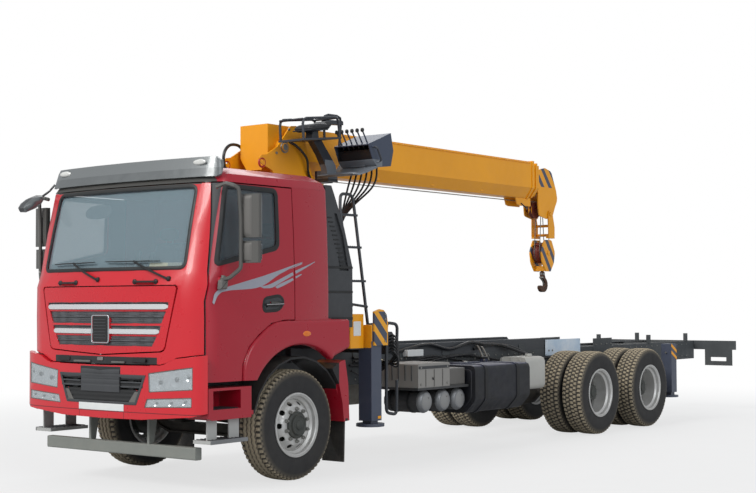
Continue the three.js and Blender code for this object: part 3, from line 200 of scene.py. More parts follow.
class Skin:
    """Gathers grids of points into the one mesh of a piece."""

    def __init__(self):
        self.points, self.faces, self.kinds, self.tints, self.count = [], [], [], [], 0

    def keep(self, points, faces, kind=0, tint=0.0):
        """Adds points with faces between them, each face of a kind and each point with a tint."""
        points = np.asarray(points, float).reshape(-1, 3)
        self.points.append(points)
        self.faces.append(np.asarray(faces) + self.count)
        self.kinds.append(np.full(len(faces), kind))
        self.tints.append(np.broadcast_to(np.asarray(tint, float).ravel(), (len(points),)))
        self.count += len(points)

    def grid(self, points, wrap=(False, False), kind=0, tint=0.0):
        """A grid of points as quads between each row and the next and each column and the next."""
        rows, columns = points.shape[:2]
        r, c = np.meshgrid(
            np.arange(rows if wrap[0] else rows - 1), np.arange(columns if wrap[1] else columns - 1), indexing="ij"
        )
        r2, c2 = (r + 1) % rows, (c + 1) % columns
        quads = np.stack([r * columns + c, r2 * columns + c, r2 * columns + c2, r * columns + c2], -1)
        self.keep(points, quads.reshape(-1, 4), kind, tint)

    def cap(self, ring, kind=0, tint=0.0):
        """One face over a ring of points."""
        self.keep(ring, np.arange(len(ring))[None], kind, tint)

    def leaf(self, near, far, wrap=(False, False), kind=0, tint=0.0):
        """Thin closed plate between two grids of the same size, with walls along its open edges."""
        self.grid(near, wrap, kind, tint)
        self.grid(far, wrap, kind, tint)
        if not wrap[0]:
            for row in (0, -1):
                self.grid(np.stack([near[row], far[row]]), (False, wrap[1]), kind)
        if not wrap[1]:
            for column in (0, -1):
                self.grid(np.stack([near[:, column], far[:, column]]), (False, wrap[0]), kind)

    def carry(self, section, path, closed=False, kind=0, lean=(0, 0, 1), tint=0.0):
        """A flat section carried along a path: at each station it stands across the path's tangent,
        with its sideways direction passed on from the station before."""
        section, path = np.asarray(section, float), np.asarray(path, float)
        if closed:
            tangent = np.roll(path, -1, 0) - np.roll(path, 1, 0)
        else:
            tangent = np.gradient(path, axis=0)
        tangent = tangent / np.maximum(np.linalg.norm(tangent, axis=1, keepdims=True), 1e-9)
        lean = np.asarray(lean, float)
        if abs(tangent[0] @ lean) > 0.95:
            lean = np.array([1.0, 0, 0]) if abs(tangent[0][0]) < 0.8 else np.array([0, 1.0, 0])
        side = np.cross(tangent[0], lean)
        sides = []
        for along in tangent:
            side = side - along * (side @ along)
            side = side / np.linalg.norm(side)
            sides.append(side)
        sides = np.array(sides)
        up = np.cross(sides, tangent)
        grid = path[:, None] + sides[:, None] * section[None, :, :1] + up[:, None] * section[None, :, 1:]
        self.grid(grid, (closed, True), kind, tint)
        if not closed:
            self.cap(grid[0], kind)
            self.cap(grid[-1], kind)

    def tube(self, path, radius, sides=10, closed=False, kind=0, tint=0.0):
        """A round bar along a path."""
        self.carry(circle(radius, sides), path, closed, kind, tint=tint)

    def turn(self, profile, centre, axis="x", sides=32, kind=0, tint=0.0, wrap=False, ripple=None):
        """A profile of (along, radius) turned about an axis; ripple(along, angle) changes the radius."""
        profile = np.asarray(profile, float)
        angle = 2 * np.pi * (np.arange(sides) + 0.5) / sides
        along, radius = profile[:, :1], profile[:, 1:]
        angle, along = np.broadcast_arrays(angle[None], along)
        radius = np.broadcast_to(radius, angle.shape)
        if np.ndim(tint):
            tint = np.repeat(np.asarray(tint, float)[:, None], sides, 1)
        if ripple is not None:
            drop = ripple(along, angle)
            radius, tint = radius + drop, tint * (1 + drop / TINT_FADE)
        grid = lay(radius * np.cos(angle), radius * np.sin(angle), along, axis) + np.asarray(centre, float)
        self.grid(grid, (wrap, True), kind, tint)
        if not wrap:
            for end in (0, -1):
                if profile[end, 1] > 0.01:
                    self.cap(grid[end], kind)

    def slab(self, corners, axis, low, high, edge=2.0, kind=0, bow=None, tint=0.0):
        """An outline drawn out along an axis, its rims eased by an edge; bow(points) bends it after."""
        outline = rounded(corners) if not isinstance(corners, np.ndarray) else corners
        slim = inset(outline, edge)
        rings = [(slim, low), (outline, low + edge), (outline, high - edge), (slim, high)]
        grid = np.stack([lay(ring[:, 0], ring[:, 1], w, axis) for ring, w in rings])
        if bow is not None:
            grid = bow(grid)
        self.grid(grid, (False, True), kind, tint)
        self.cap(grid[0], kind)
        self.cap(grid[-1], kind)

    def mesh(self, name, angle=35):
        """The gathered grids as one mesh, in metres, its facing points merged and its rims sharp above an angle."""
        points, kinds = place(np.concatenate(self.points)), np.concatenate(self.kinds)
        loops = np.concatenate([faces.ravel() for faces in self.faces])
        totals = np.concatenate([np.full(len(faces), faces.shape[1]) for faces in self.faces])
        mesh = bpy.data.meshes.new(name)
        mesh.vertices.add(len(points))
        mesh.vertices.foreach_set("co", points.ravel())
        mesh.loops.add(len(loops))
        mesh.loops.foreach_set("vertex_index", loops)
        mesh.polygons.add(len(totals))
        mesh.polygons.foreach_set("loop_start", np.concatenate([[0], np.cumsum(totals)[:-1]]))
        mesh.polygons.foreach_set("loop_total", totals)
        mesh.polygons.foreach_set("material_index", kinds)
        mesh.attributes.new("tint", "FLOAT", "POINT").data.foreach_set("value", np.concatenate(self.tints))
        mesh.update(calc_edges=True)
        mesh.validate()
        work = bmesh.new()
        work.from_mesh(mesh)
        bmesh.ops.remove_doubles(work, verts=work.verts, dist=SAME_SPOT)
        bmesh.ops.recalc_face_normals(work, faces=work.faces)
        work.to_mesh(mesh)
        work.free()
        soften(mesh, angle)
        return mesh


def soften(mesh, angle):
    """Smooth shading, sharp where faces meet at more than an angle in degrees."""
    mesh.polygons.foreach_set("use_smooth", np.ones(len(mesh.polygons), bool))
    mesh.set_sharp_from_angle(angle=math.radians(angle))
    mesh.update()


def show(name, mesh, finishes):
    """An object for a mesh, linked to the scene and given its finishes in kind order."""
    obj = bpy.data.objects.new(name, mesh)
    bpy.context.scene.collection.objects.link(obj)
    for finish_name in finishes:
        mesh.materials.append(FINISHES[finish_name])
    return obj


def fit(name, skin, body, finishes, replaces=(), angle=35):
    """Makes a piece from a skin, lets it ride on its body and hides the CAD nodes it stands for."""
    obj = show(name, skin.mesh(name, angle), finishes)
    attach(obj, body)
    if replaces:
        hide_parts(*replaces)


def dress(node, finish_name, angle):
    """A merged copy of a CAD node, so that its round faces shade as round."""
    mesh = NODES[node].data.copy()
    work = bmesh.new()
    work.from_mesh(mesh)
    bmesh.ops.remove_doubles(work, verts=work.verts, dist=SAME_SPOT)
    bmesh.ops.dissolve_limit(work, angle_limit=math.radians(0.6), verts=work.verts, edges=work.edges)
    work.to_mesh(mesh)
    work.free()
    if "custom_normal" in mesh.attributes:
        mesh.attributes.remove(mesh.attributes["custom_normal"])
    soften(mesh, angle)
    mesh.materials.clear()
    obj = show(node + "_skin", mesh, [finish_name])
    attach(obj, BODY_OF[node])
    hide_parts(node)


# ---------------------------------------------------------------- the cab's own surfaces

LEVELS = np.array([
    [990, -1471, 130, 250, 200, 1240], [1600, -1474, 130, 250, 200, 1250], [1900, -1472, 132, 250, 200, 1250],
    [2030, -1444, 160, 240, 180, 1248], [2450, -1345, 140, 220, 150, 1235], [2860, -1228, 112, 200, 120, 1213],
    [2935, -1180, 110, 190, 120, 1188],
])
# Plan curves of the bumper, the lid and the visor: front, bow, run, depth and half width for plan_y.
BUMPER = (-1490, 100, 200, 90, 1250)
LID = (-1474, 131, 250, 200, 1250)
VISOR = (-1190, 104, 160, 60, 1187)
CAB_REAR = 290


def plan_y(x, plan):
    """Plan curve: front + bow (x/half)^2, and past half - run a quarter ellipse of that run and depth."""
    front, bow, run, depth, half = plan
    past = np.clip((np.abs(x) - (half - run)) / run, 0, 1)
    return front + bow * (x / half) ** 2 + depth * (1 - np.sqrt(1 - past**2))


def cab_y(x, z):
    """The cab's front at (x, z): the plan curve with its sizes read off between the listed heights."""
    return plan_y(x, [np.interp(z, LEVELS[:, 0], LEVELS[:, k]) for k in range(1, 6)])


def cab_x(y, z):
    """Half width of the cab at (y, z), found by halving the corner's angle until plan_y meets y."""
    front, bow, run, depth, half = [np.interp(z, LEVELS[:, 0], LEVELS[:, k]) for k in range(1, 6)]
    low, high = np.zeros(np.shape(y)), np.full(np.shape(y), np.pi / 2)
    for _ in range(26):
        mid = (low + high) / 2
        x = half - run + run * np.sin(mid)
        ahead = front + bow * (x / half) ** 2 + depth * (1 - np.cos(mid)) < y
        low, high = np.where(ahead, mid, low), np.where(ahead, high, mid)
    return half - run + run * np.sin(low)


def frame_strip(skin, corners, inner, outer, surface, proud, kind=0, count=96):
    """Moulding round an outline: rows from outer to inner offset, crowned between, wrapped along it."""
    outline = resample(rounded(corners, 8), count, closed=True)
    share = np.linspace(0, 1, 5)
    rings = np.stack([inset(outline, outer + (inner - outer) * s) for s in share])
    crown = (proud * np.sin(np.pi * (0.12 + 0.76 * share)))[:, None]
    near = surface(rings[..., 0], rings[..., 1], crown)
    far = surface(rings[..., 0], rings[..., 1], np.full_like(crown, -5.0))
    skin.leaf(near, far, (False, True), kind)


def on_front(x, z, proud):
    """Points standing proud of the cab's front."""
    return xyz(x, cab_y(x, z) - proud, z)


def on_plan(plan):
    """Surface of a plan curve: the function of (x, z, proud) that gives its points."""
    return lambda x, z, proud: xyz(x, plan_y(x, plan) - proud, z)


def on_side(side):
    """Surface of the cab's side: the function of (y, z, proud) that gives its points."""
    return lambda y, z, proud: xyz(side * (cab_x(y, z) + proud), y, z)


def panel(corners, rows, columns):
    """Grid over a four-cornered patch: straight lines between its opposite sides."""
    a, b, c, d = (np.array(corner[:2], float) for corner in corners)
    v, u = np.meshgrid(np.linspace(0, 1, rows), np.linspace(0, 1, columns), indexing="ij")
    u, v = u[..., None], v[..., None]
    return (a * (1 - u) + b * u) * (1 - v) + (d * (1 - u) + c * u) * v, u[..., 0], v[..., 0]


# ---------------------------------------------------------------- finishes


def add(tree, kind, inputs=None, **settings):
    """Adds one node with its settings; each named input is linked when given a socket, else set."""
    node = tree.nodes.new("ShaderNode" + kind)
    for key, value in settings.items():
        setattr(node, key, value)
    for key, value in (inputs or {}).items():
        if isinstance(value, bpy.types.NodeSocket):
            tree.links.new(value, node.inputs[key])
        else:
            node.inputs[key].default_value = value
    return node


def zone(tree, coord, low, high):
    """1 inside a box given by two corners, else 0: the largest of |p - middle| / half is below 1."""
    low, high = place([low, high])
    shift = add(tree, "VectorMath", {0: coord, 1: tuple((low + high) / 2)}, operation="SUBTRACT")
    size = add(tree, "VectorMath", {0: shift.outputs[0]}, operation="ABSOLUTE")
    ratio = add(tree, "VectorMath", {0: size.outputs[0], 1: tuple((high - low) / 2)}, operation="DIVIDE")
    axes = add(tree, "SeparateXYZ", {0: ratio.outputs[0]})
    most = add(tree, "Math", {0: axes.outputs[0], 1: axes.outputs[1]}, operation="MAXIMUM")
    most = add(tree, "Math", {0: most.outputs[0], 1: axes.outputs[2]}, operation="MAXIMUM")
    return add(tree, "Math", {0: most.outputs[0], 1: 1.0}, operation="LESS_THAN").outputs[0]


def striped(tree, coord, inside, direction, period, share):
    """1 on stripes across a direction: where the fraction of p . direction / period is below a share."""
    scaled = tuple(np.array(direction) * 1000 / period)
    along = add(tree, "VectorMath", {0: coord, 1: scaled}, operation="DOT_PRODUCT")
    turn = add(tree, "Math", {0: along.outputs["Value"]}, operation="FRACT")
    stripe = add(tree, "Math", {0: turn.outputs[0], 1: share}, operation="LESS_THAN")
    return add(tree, "Math", {0: stripe.outputs[0], 1: inside}, operation="MULTIPLY").outputs[0]


def settled(tree, coord, amount, top):
    """Share of dust: full at the ground and none at a height in mm, but also on faces that look up."""
    height = add(tree, "SeparateXYZ", {0: coord}).outputs[2]
    low = add(tree, "MapRange", {0: height, 1: 0.0, 2: top / 1000, 3: 1.0, 4: 0.0})
    up = add(tree, "SeparateXYZ", {0: add(tree, "NewGeometry").outputs["Normal"]})
    flat = add(tree, "MapRange", {0: up.outputs[2], 1: 0.3, 2: 0.95, 3: 0.0, 4: 0.8})
    held = add(tree, "Math", {0: low.outputs[0], 1: flat.outputs[0]}, operation="MAXIMUM")
    drift = add(tree, "TexNoise", {"Vector": coord, "Scale": 1000 / 160, "Detail": 6.0, "Roughness": 0.7})
    drift = add(tree, "MapRange", {0: drift.outputs[0], 1: 0.35, 2: 0.7, 3: 0.15, 4: 1.0})
    held = add(tree, "Math", {0: held.outputs[0], 1: drift.outputs[0]}, operation="MULTIPLY")
    return add(tree, "Math", {0: held.outputs[0], 1: amount}, operation="MULTIPLY").outputs[0]


def finish(
    name, base, rough, grain, mottle, metal=0.0, clear=0.0, dust=None, patches=(), bands=(), edge=3.0, tint=None,
    alpha=1.0, spread=0.08, sheen=0.0, cells=None,
):
    """One surface from its base colour. grain: size and depth mm of the bump. mottle: patch size mm,
    amount, second colour. dust: colour, amount, height mm it settles to. patches: boxes of another colour
    and roughness. bands: boxes crossed by stripes of (colour, direction, period mm, share).
    tint: colour laid on where the piece's own tint attribute is 1. cells: size mm of a hole pattern."""
    material = bpy.data.materials.new(name)
    material.use_nodes = True
    tree = material.node_tree
    shader = tree.nodes["Principled BSDF"]
    coord = add(tree, "TexCoord").outputs["Object"]
    cloud = add(tree, "TexNoise", {"Vector": coord, "Scale": 1000 / mottle[0], "Detail": 5.0, "Roughness": 0.62})
    cloud = add(tree, "MapRange", {0: cloud.outputs[0], 1: 0.38, 2: 0.68, 3: 0.0, 4: mottle[1]})
    layers = [(cloud.outputs[0], mottle[2])]
    smudge = add(tree, "TexNoise", {"Vector": coord, "Scale": 1000 / 90, "Detail": 4.0})
    limits = {1: 0.3, 2: 0.7, 3: max(rough - spread, 0.02), 4: rough + spread}
    rough_now = add(tree, "MapRange", {0: smudge.outputs[0], **limits}).outputs[0]
    if tint is not None:
        layers.append((add(tree, "Attribute", attribute_name="tint").outputs["Fac"], tint))
    for low, high, code, rough_there in patches:
        inside = zone(tree, coord, low, high)
        layers.append((inside, code))
        rough_now = add(tree, "Mix", {0: inside, 2: rough_now, 3: rough_there}).outputs[0]
    for low, high, code, *stripes in bands:
        layers.append((striped(tree, coord, zone(tree, coord, low, high), *stripes), code))
    if cells is not None:
        # The holes are painted near black: painted shade seen through a mesh.
        holes = add(tree, "TexVoronoi", {"Vector": coord, "Scale": 1000 / cells, "Randomness": 0.15})
        wall = add(tree, "MapRange", {0: holes.outputs["Distance"], 1: 0.28, 2: 0.42, 3: 1.0, 4: 0.0})
        layers.append((wall.outputs[0], 0x0C0C0D))
    if dust is not None:
        code, amount, top = dust
        held = settled(tree, coord, amount, top)
        layers.append((held, code))
        rough_now = add(tree, "Mix", {0: held, 2: rough_now, 3: 0.85}).outputs[0]
    colour = linear(base) if isinstance(base, int) else (*base, 1.0)
    for share, code in layers:
        colour = add(tree, "Mix", {0: share, 6: colour, 7: linear(code)}, data_type="RGBA").outputs[2]
    fine = add(tree, "TexNoise", {"Vector": coord, "Scale": 1000 / grain[0], "Detail": 3.0})
    bump = add(tree, "Bump", {"Height": fine.outputs[0], "Strength": 0.6, "Distance": grain[1] / 1000})
    if edge:
        round_over = add(tree, "Bevel", {"Radius": edge / 1000}, samples=4)
        tree.links.new(round_over.outputs[0], bump.inputs["Normal"])
    for socket, value in (("Base Color", colour), ("Roughness", rough_now), ("Normal", bump.outputs[0])):
        tree.links.new(value, shader.inputs[socket])
    fixed = {"Metallic": metal, "Coat Weight": clear, "Coat Roughness": 0.06, "Alpha": alpha, "Sheen Weight": sheen}
    for socket, value in fixed.items():
        shader.inputs[socket].default_value = value
    FINISHES[name] = material


def diagonal(low, high, code, slope, period, share):
    """A band entry whose stripes run diagonally in the (y, z) plane."""
    return (low, high, code, (0.0, slope, 1.0), period, share)


def across(half, y0, y1, z0, z1, *look):
    """A patch entry that reaches as far to the left as to the right."""
    return ((-half, y0, z0), (half, y1, z1), *look)


def twice(entry):
    """A patch or band entry and its mirror image on the other side of the truck."""
    (x0, *low), (x1, *high), *look = entry
    return entry, ((-x1, *low), (-x0, *high), *look)


WIDE = 9000


def make_finishes(looks):
    """Every finish on the crane, named for what the real surface is."""
    red, yellow, slate = tuple(looks.cab_red), tuple(looks.crane_yellow), tuple(looks.leg_slate)
    # Side red is the cab red made darker as painted shade: the sides, roof, doors and wings lie away from the key lamp
    # that lights the front.
    shaded_side_red = tuple(looks.shaded_side_red)
    dirt = 0x8F8678
    # Baked cab enamel under clear lacquer: sharp highlights, faint orange peel a few mm across.
    peel = {"grain": (7.0, 0.012), "mottle": (900, 0.15, 0xA8202C), "spread": 0.03, "edge": 4.0}
    finish("baked_enamel_red", red, 0.28, clear=0.3, **peel)
    finish("baked_enamel_red_side", shaded_side_red, 0.3, clear=0.3, **peel)
    finish(
        "baked_enamel_red_roof", shaded_side_red, 0.3, clear=0.3, **peel,
        patches=[across(1150, -1300, -1080, 2850, 2912, 0x3A3936, 0.7)],
    )
    finish(
        "baked_enamel_red_door", shaded_side_red, 0.3, clear=0.3, **peel,
        patches=[
            *twice(((1262, -WIDE, 0), (WIDE, WIDE, WIDE), 0x504F4C, 0.5)),
            across(1190, -WIDE, WIDE, 0, WIDE, 0x3B3C3E, 0.6),
            *twice(((1190, -1250, 2788), (1400, -1100, 2860), 0x5F5E5B, 0.5)),
        ],
    )
    finish(
        "baked_enamel_red_front", red, 0.3, clear=0.3, **peel,
        patches=[
            across(1085, -1288, -980, 1690, 2030, 0x4A4C4E, 0.6), across(600, -1370, -980, 1690, 2030, 0x4A4C4E, 0.6),
            # Near black at the gap under the lid, between heights 1160 and 1236, is painted shade.
            across(720, -1510, -1380, 1160, 1236, 0x1B1C1E, 0.6), across(1020, -1300, -1100, 2838, 2850, 0x3A3936, 0.7),
        ],
    )
    # gap is near black painted shade in the grille's openings, inside the bumper.
    gap, groove = (0x17181A, 0.7), (0x6E0F18, 0.5)
    finish(
        "baked_enamel_red_bumper", red, 0.3, clear=0.3, **peel,
        patches=[across(350, -1476, -1100, 770, 1086, *gap),
                 across(480, -1470, -1100, 770, 1086, *gap),
                 across(612, -1460, -1100, 770, 1086, *gap),
                 # Near black behind the slots and the tow cover: painted shade as well.
                 across(575, -WIDE, -1100, 950, 1055, 0x1B1C1E, 0.7),
                 across(283, -WIDE, -1100, 925, 1142, 0x1B1C1E, 0.7),
                 across(WIDE, -WIDE, -1290, 721, 729, *groove),
                 ((-302, -WIDE, 600), (-295, -1290, 721), *groove),
                 ((325, -WIDE, 600), (332, -1290, 721), *groove)],
    )
    finish(
        "baked_enamel_red_wing", shaded_side_red, 0.3, clear=0.25, **peel, dust=(dirt, 0.3, 700),
        patches=[across(WIDE, -655, 560, 480, 1230, 0x1C1C1D, 0.8), across(WIDE, 655, 695, 100, 565, 0x1B1B1C, 0.75),
                 across(WIDE, -1260, -760, 440, 668, 0xA9ABA9, 0.45),
                 across(1200, -1240, -740, 740, 768, 0x4B4D4F, 0.7),
                 across(935, -WIDE, WIDE, 100, 1200, 0x222324, 0.7)],
    )
    shade = (0x2C2E31, 0.6)
    # Two-pack crane enamel, brushed by weather: softer gloss, brownish in the shade.
    coat = {"grain": (6.0, 0.02), "mottle": (700, 0.3, 0xD88E12), "spread": 0.06}
    finish("two_pack_enamel_yellow", yellow, 0.44, clear=0.1, **coat)
    finish(
        "two_pack_enamel_yellow_base", yellow, 0.44, clear=0.1, **coat,
        patches=[across(1150, -WIDE, 1106, 0, 1262, *shade), across(690, -WIDE, 1106, 0, 1480, *shade),
                 across(1150, 1100, 1550, 0, 1262, *shade), across(440, 700, WIDE, 1000, 1252, 0x3B3E42, 0.6),
                 ((920, 1548, 1170), (1090, 1700, 1430), 0x3A3C40, 0.5),
                 ((955, 940, 1616), (1045, 1030, 1660), 0x2E3034, 0.5),
                 across(1050, 1100, 1120, 1255, 1480, *shade)],
    )
    post = (0xEFA41C, 0.44)
    stripes = [diagonal((1205, 1130, 1180), (1300, 1375, 1640), 0xEBA520, 1.0, 190, 0.42),
               diagonal((-1300, 1340, 1180), (-1205, 1580, 1640), 0xEBA520, 1.0, 190, 0.42)]
    # Slate enamel on the legs: the same weathered gloss, bluer where the light is low.
    leg = {"clear": 0.15, "grain": (5.0, 0.02), "mottle": (500, 0.35, 0x39415A)}
    finish("slate_enamel", slate, 0.42, **leg, dust=(dirt, 0.2, 700))
    finish(
        "slate_enamel_striped", slate, 0.42, **leg,
        patches=[
            across(1000, -WIDE, WIDE, 1200, 1480, 0x34373B, 0.5),
            *twice(((985, -WIDE, 1262), (1204, WIDE, 1700), *post)),
            ((1204, 1100, 1330), (1300, 1150, 1700), *post), ((1204, 1375, 1280), (1300, 1440, 1700), *post),
            ((1204, 1150, 1640), (1300, 1400, 1700), *post),
            ((-1300, 1340, 1330), (-1204, 1365, 1700), *post), ((-1300, 1580, 1280), (-1204, 1640, 1700), *post),
            ((-1300, 1350, 1640), (-1204, 1620, 1700), *post),
        ], bands=stripes,
    )
    finish(
        "two_pack_enamel_yellow_head", yellow, 0.44, clear=0.1, **coat,
        patches=[
            across(105, 6225, 6800, 2880, 3300, 0x6B2D20, 0.6), across(100, 6500, 6800, 3030, 3320, 0x1F2023, 0.6),
        ],
        bands=twice(diagonal((106, 6240, 3330), (126, 6760, 3640), 0x454C60, 1.2, 240, 0.45)),
    )
    finish(
        "two_pack_enamel_yellow_block", yellow, 0.4, clear=0.2, **coat,
        patches=[across(70, 6370, 6690, 2260, 2600, 0x7A2E1E, 0.6)],
        bands=twice(diagonal((80, 6300, 2150), (110, 6760, 2610), 0x454C60, 1.4, 280, 0.42)),
    )
    # Wax-coated chassis paint on pressed steel: dull, dusty on every ledge.
    finish("chassis_paint", 0x45494B, 0.6, (4.0, 0.15), (350, 0.4, 0x26292C), dust=(dirt, 0.45, 900))
    finish("underrun_paint", 0x7C807B, 0.55, (4.0, 0.12), (300, 0.3, 0x686C68), dust=(0xA39C90, 0.3, 500))
    # Stoved black enamel: a low gloss that holds dust on top; the fuel tank's is deeper and smoother.
    finish("black_enamel", 0x30343A, 0.42, (4.0, 0.08), (300, 0.3, 0x23262A), clear=0.1, dust=(dirt, 0.15, 600))
    finish(
        "black_enamel_tank", 0x0E1013, 0.5, (5.0, 0.03), (450, 0.5, 0x1C2033), clear=0.05,
        dust=(dirt, 0.06, 800),
        patches=[
            # The navy over the tank's top is a painted reflection of the sky.
            ((560, 3060, 985), (1190, 4225, 1100), 0x2A3048, 0.45),
            ((1214, 3240, 0), (1300, 3320, 1200), 0x17181A, 0.6), ((1214, 3920, 0), (1300, 4000, 1200), 0x17181A, 0.6),
        ],
    )
    finish(
        "black_enamel_station", 0x33373E, 0.45, (4.0, 0.08), (250, 0.3, 0x262A30), clear=0.1,
        patches=[((400, 1400, 3200), (930, 1930, 3620), 0x3D4658, 0.45),
                 ((300, 1270, 3090), (940, 1720, 3290), 0x70767D, 0.5),
                 ((425, 1540, 3290), (900, 1735, 3445), 0x1B1C1F, 0.5)],
    )
    # Grey iron castings and leaf steel, oily with road dust baked on.
    finish("cast_iron", 0x33322F, 0.68, (5.0, 0.5), (180, 0.6, 0x1F1E1D), metal=0.3, dust=(dirt, 0.5, 800))
    # Road tyre rubber: matt, grey with wear on the tread, sides with fine moulding grain.
    finish(
        "tyre_rubber", 0x272728, 0.78, (4.0, 0.2), (260, 0.35, 0x363533), tint=0xA2967F, edge=0,
        spread=0.06, dust=(dirt, 0.05, 900),
    )
    # Silver wheel paint: fine metallic flake, brake dust near the holes.
    finish(
        "wheel_silver", 0xCCCCCA, 0.36, (2.5, 0.04), (120, 0.35, 0x9A9890), metal=0.35, edge=1.5,
        dust=(0x9C9184, 0.25, 500),
    )
    # Oily hub paint and zinc-plated bolts: a dull dark face with small bright points.
    finish("hub_black", 0x2E3331, 0.55, (3.0, 0.1), (80, 0.5, 0x3E4340), edge=2.0, dust=(dirt, 0.3, 900))
    finish("zinc_steel", 0x9C9C98, 0.38, (1.5, 0.04), (60, 0.4, 0x6E6C68), metal=0.85, edge=1.0)
    # Bright chromium plate on plastic, soft hairline marks.
    finish("chromium_plate", 0xD4D6D8, 0.16, (2.0, 0.01), (300, 0.2, 0xB8BCC0), metal=1.0, edge=1.5, spread=0.05)
    # Bright and satin trim strips: broad soft highlights, no mirror image.
    finish("bright_trim", 0xD9DBDC, 0.3, (2.0, 0.002), (300, 0.1, 0xC4C8CA), metal=0.35, clear=0.4, edge=1.5)
    finish("satin_metal", 0x8C8E90, 0.38, (2.0, 0.01), (300, 0.3, 0x76787A), metal=0.6, edge=1.5)
    # Moulded dark polypropylene: leather-like moulding grain a millimetre or two across.
    finish("moulded_plastic_dark", 0x3E4043, 0.58, (2.5, 0.12), (300, 0.3, 0x2E3032))
    finish("moulded_plastic_black", 0x1E1F20, 0.5, (2.5, 0.1), (300, 0.3, 0x141415))
    finish("moulded_plastic_grey", 0x64625F, 0.5, (2.5, 0.08), (250, 0.2, 0x55534F))
    # Expanded mesh, its holes drawn at 17 mm so that they show, painted near black as the shade seen through them.
    finish("grille_mesh", 0x54565A, 0.5, (2.0, 0.05), (200, 0.3, 0x3A3B3D), cells=17, edge=0)
    finish(
        "moulded_plastic_tanks", 0x3A3C3F, 0.5, (3.0, 0.1), (250, 0.5, 0x26282A), dust=(dirt, 0.35, 1000),
        patches=[((600, 2040, 793), (1140, 2672, 1070), 0x8D8B87, 0.55),
                 ((620, 2680, 793), (1100, 3020, 1000), 0x6F6F6E, 0.5),
                 ((1046, 2090, 500), (1120, 3030, 764), 0x8E8F8F, 0.4)],
    )
    # Sun visor: grey flake paint on moulded sheet, slightly brushed in look.
    finish(
        "flake_paint_grey", 0x6C7071, 0.36, (3.0, 0.04), (500, 0.3, 0x5A5E60), metal=0.35, clear=0.3,
        patches=[
            ((-1300, -1500, 2600), (-1195, -1000, 2995), 0x4C4E50, 0.5),
            across(1200, -WIDE, WIDE, 2990, 3100, 0x7B7F80, 0.34),
        ],
    )
    # Powder coat and aluminised sheet: even matt grey, and dull silver with brown heat stain.
    finish("powder_grey", 0xB5B5B0, 0.5, (3.0, 0.1), (300, 0.3, 0x9C9C96), dust=(dirt, 0.3, 900))
    finish("aluminised_steel", 0x8E8C86, 0.45, (4.0, 0.1), (160, 0.5, 0x6D6558), metal=0.6, dust=(dirt, 0.4, 900))
    # Laminated glass: pale, a little green-blue, mirror smooth, half seen through.
    finish("laminated_glass", 0x8FA4AD, 0.04, (60.0, 0.02), (700, 0.3, 0x8AA0AA), alpha=0.42, edge=0, spread=0.01)
    # Tempered door glass: the same pane, darker by painted shade for the dim cab behind it.
    finish("tempered_glass", 0x5C686E, 0.04, (60.0, 0.02), (700, 0.3, 0x4E5A60), alpha=0.5, edge=0, spread=0.01)
    # Moulded acrylic: a clear lens with hardly any tone, and dyed caps with a wet gloss over ribs.
    finish("lamp_lens", 0xD2DADE, 0.05, (30.0, 0.01), (200, 0.2, 0xD0D8DC), alpha=0.2, edge=0, spread=0.02)
    finish("lens_amber", 0xE8780A, 0.15, (6.0, 0.25), (30, 0.4, 0xB65407), clear=0.5, edge=1.0)
    finish("lens_red", 0xA8141A, 0.15, (6.0, 0.25), (30, 0.4, 0x7E0D12), clear=0.5, edge=1.0)
    finish("lens_clear", 0xD9DAD6, 0.14, (6.0, 0.25), (30, 0.4, 0xB9BAB6), clear=0.5, edge=1.0)
    # Vapour-plated reflector bowls: near mirror with slight flutes.
    finish("plated_reflector", 0xC4C8CA, 0.22, (9.0, 0.1), (90, 0.2, 0x9CA2A6), metal=0.85, edge=0)
    # Woven seat cloth and vinyl: threads about 1.5 mm, drawn at 5 mm so that they show.
    finish("seat_cloth", 0x3B3E44, 0.9, (5.0, 0.5), (120, 0.4, 0x2A2C30), sheen=0.3, edge=0)
    finish("seat_vinyl", 0x232427, 0.5, (4.0, 0.3), (90, 0.3, 0x2E2F33), edge=0)
    # Flocked lining board: no highlight at all.
    finish("cab_lining", 0x4A4D50, 0.8, (4.0, 0.2), (250, 0.3, 0x3A3C40))
    # Hard chrome on the rod: a near mirror with faint grinding marks.
    finish("hard_chrome_rod", 0xC8CACB, 0.12, (2.0, 0.01), (150, 0.2, 0xA8ABAD), metal=1.0, edge=1.0)
    # Forged hook: brown mill scale and rust bloom.
    finish("forged_steel", 0x4B3A30, 0.62, (4.0, 0.4), (45, 0.7, 0x6B4630), metal=0.4, edge=2.0)
    # Hydraulic hose of black rubber with a low sheen, and greased steel rope, its strands drawn at 5 mm
    # so that they show.
    finish("rubber_hose", 0x161719, 0.3, (3.0, 0.12), (90, 0.4, 0x34363A), edge=0, dust=(dirt, 0.2, 1100))
    finish("wire_rope", 0x8B8983, 0.5, (5.0, 0.8), (30, 0.5, 0x5A5852), metal=0.6, edge=0)
    # Printed vinyl film, painted sheet plates and red oxide primer: flat colours, faded in patches.
    finish("decal_silver", 0x9A9CA6, 0.35, (4.0, 0.02), (300, 0.25, 0x85879A), clear=0.3, edge=0)
    finish("decal_cream", 0xD8CFA8, 0.5, (4.0, 0.03), (60, 0.4, 0xC0B488), edge=0)
    finish("plate_white", 0xDADCDB, 0.45, (4.0, 0.03), (120, 0.25, 0xC2C8CC), edge=1.0)
    finish("plate_blue", 0xB9CDE0, 0.45, (4.0, 0.03), (250, 0.6, 0xE8EDF0), edge=1.0)
    finish("primer_red", 0xB4301F, 0.5, (3.0, 0.1), (60, 0.4, 0x8C2216), edge=1.0)


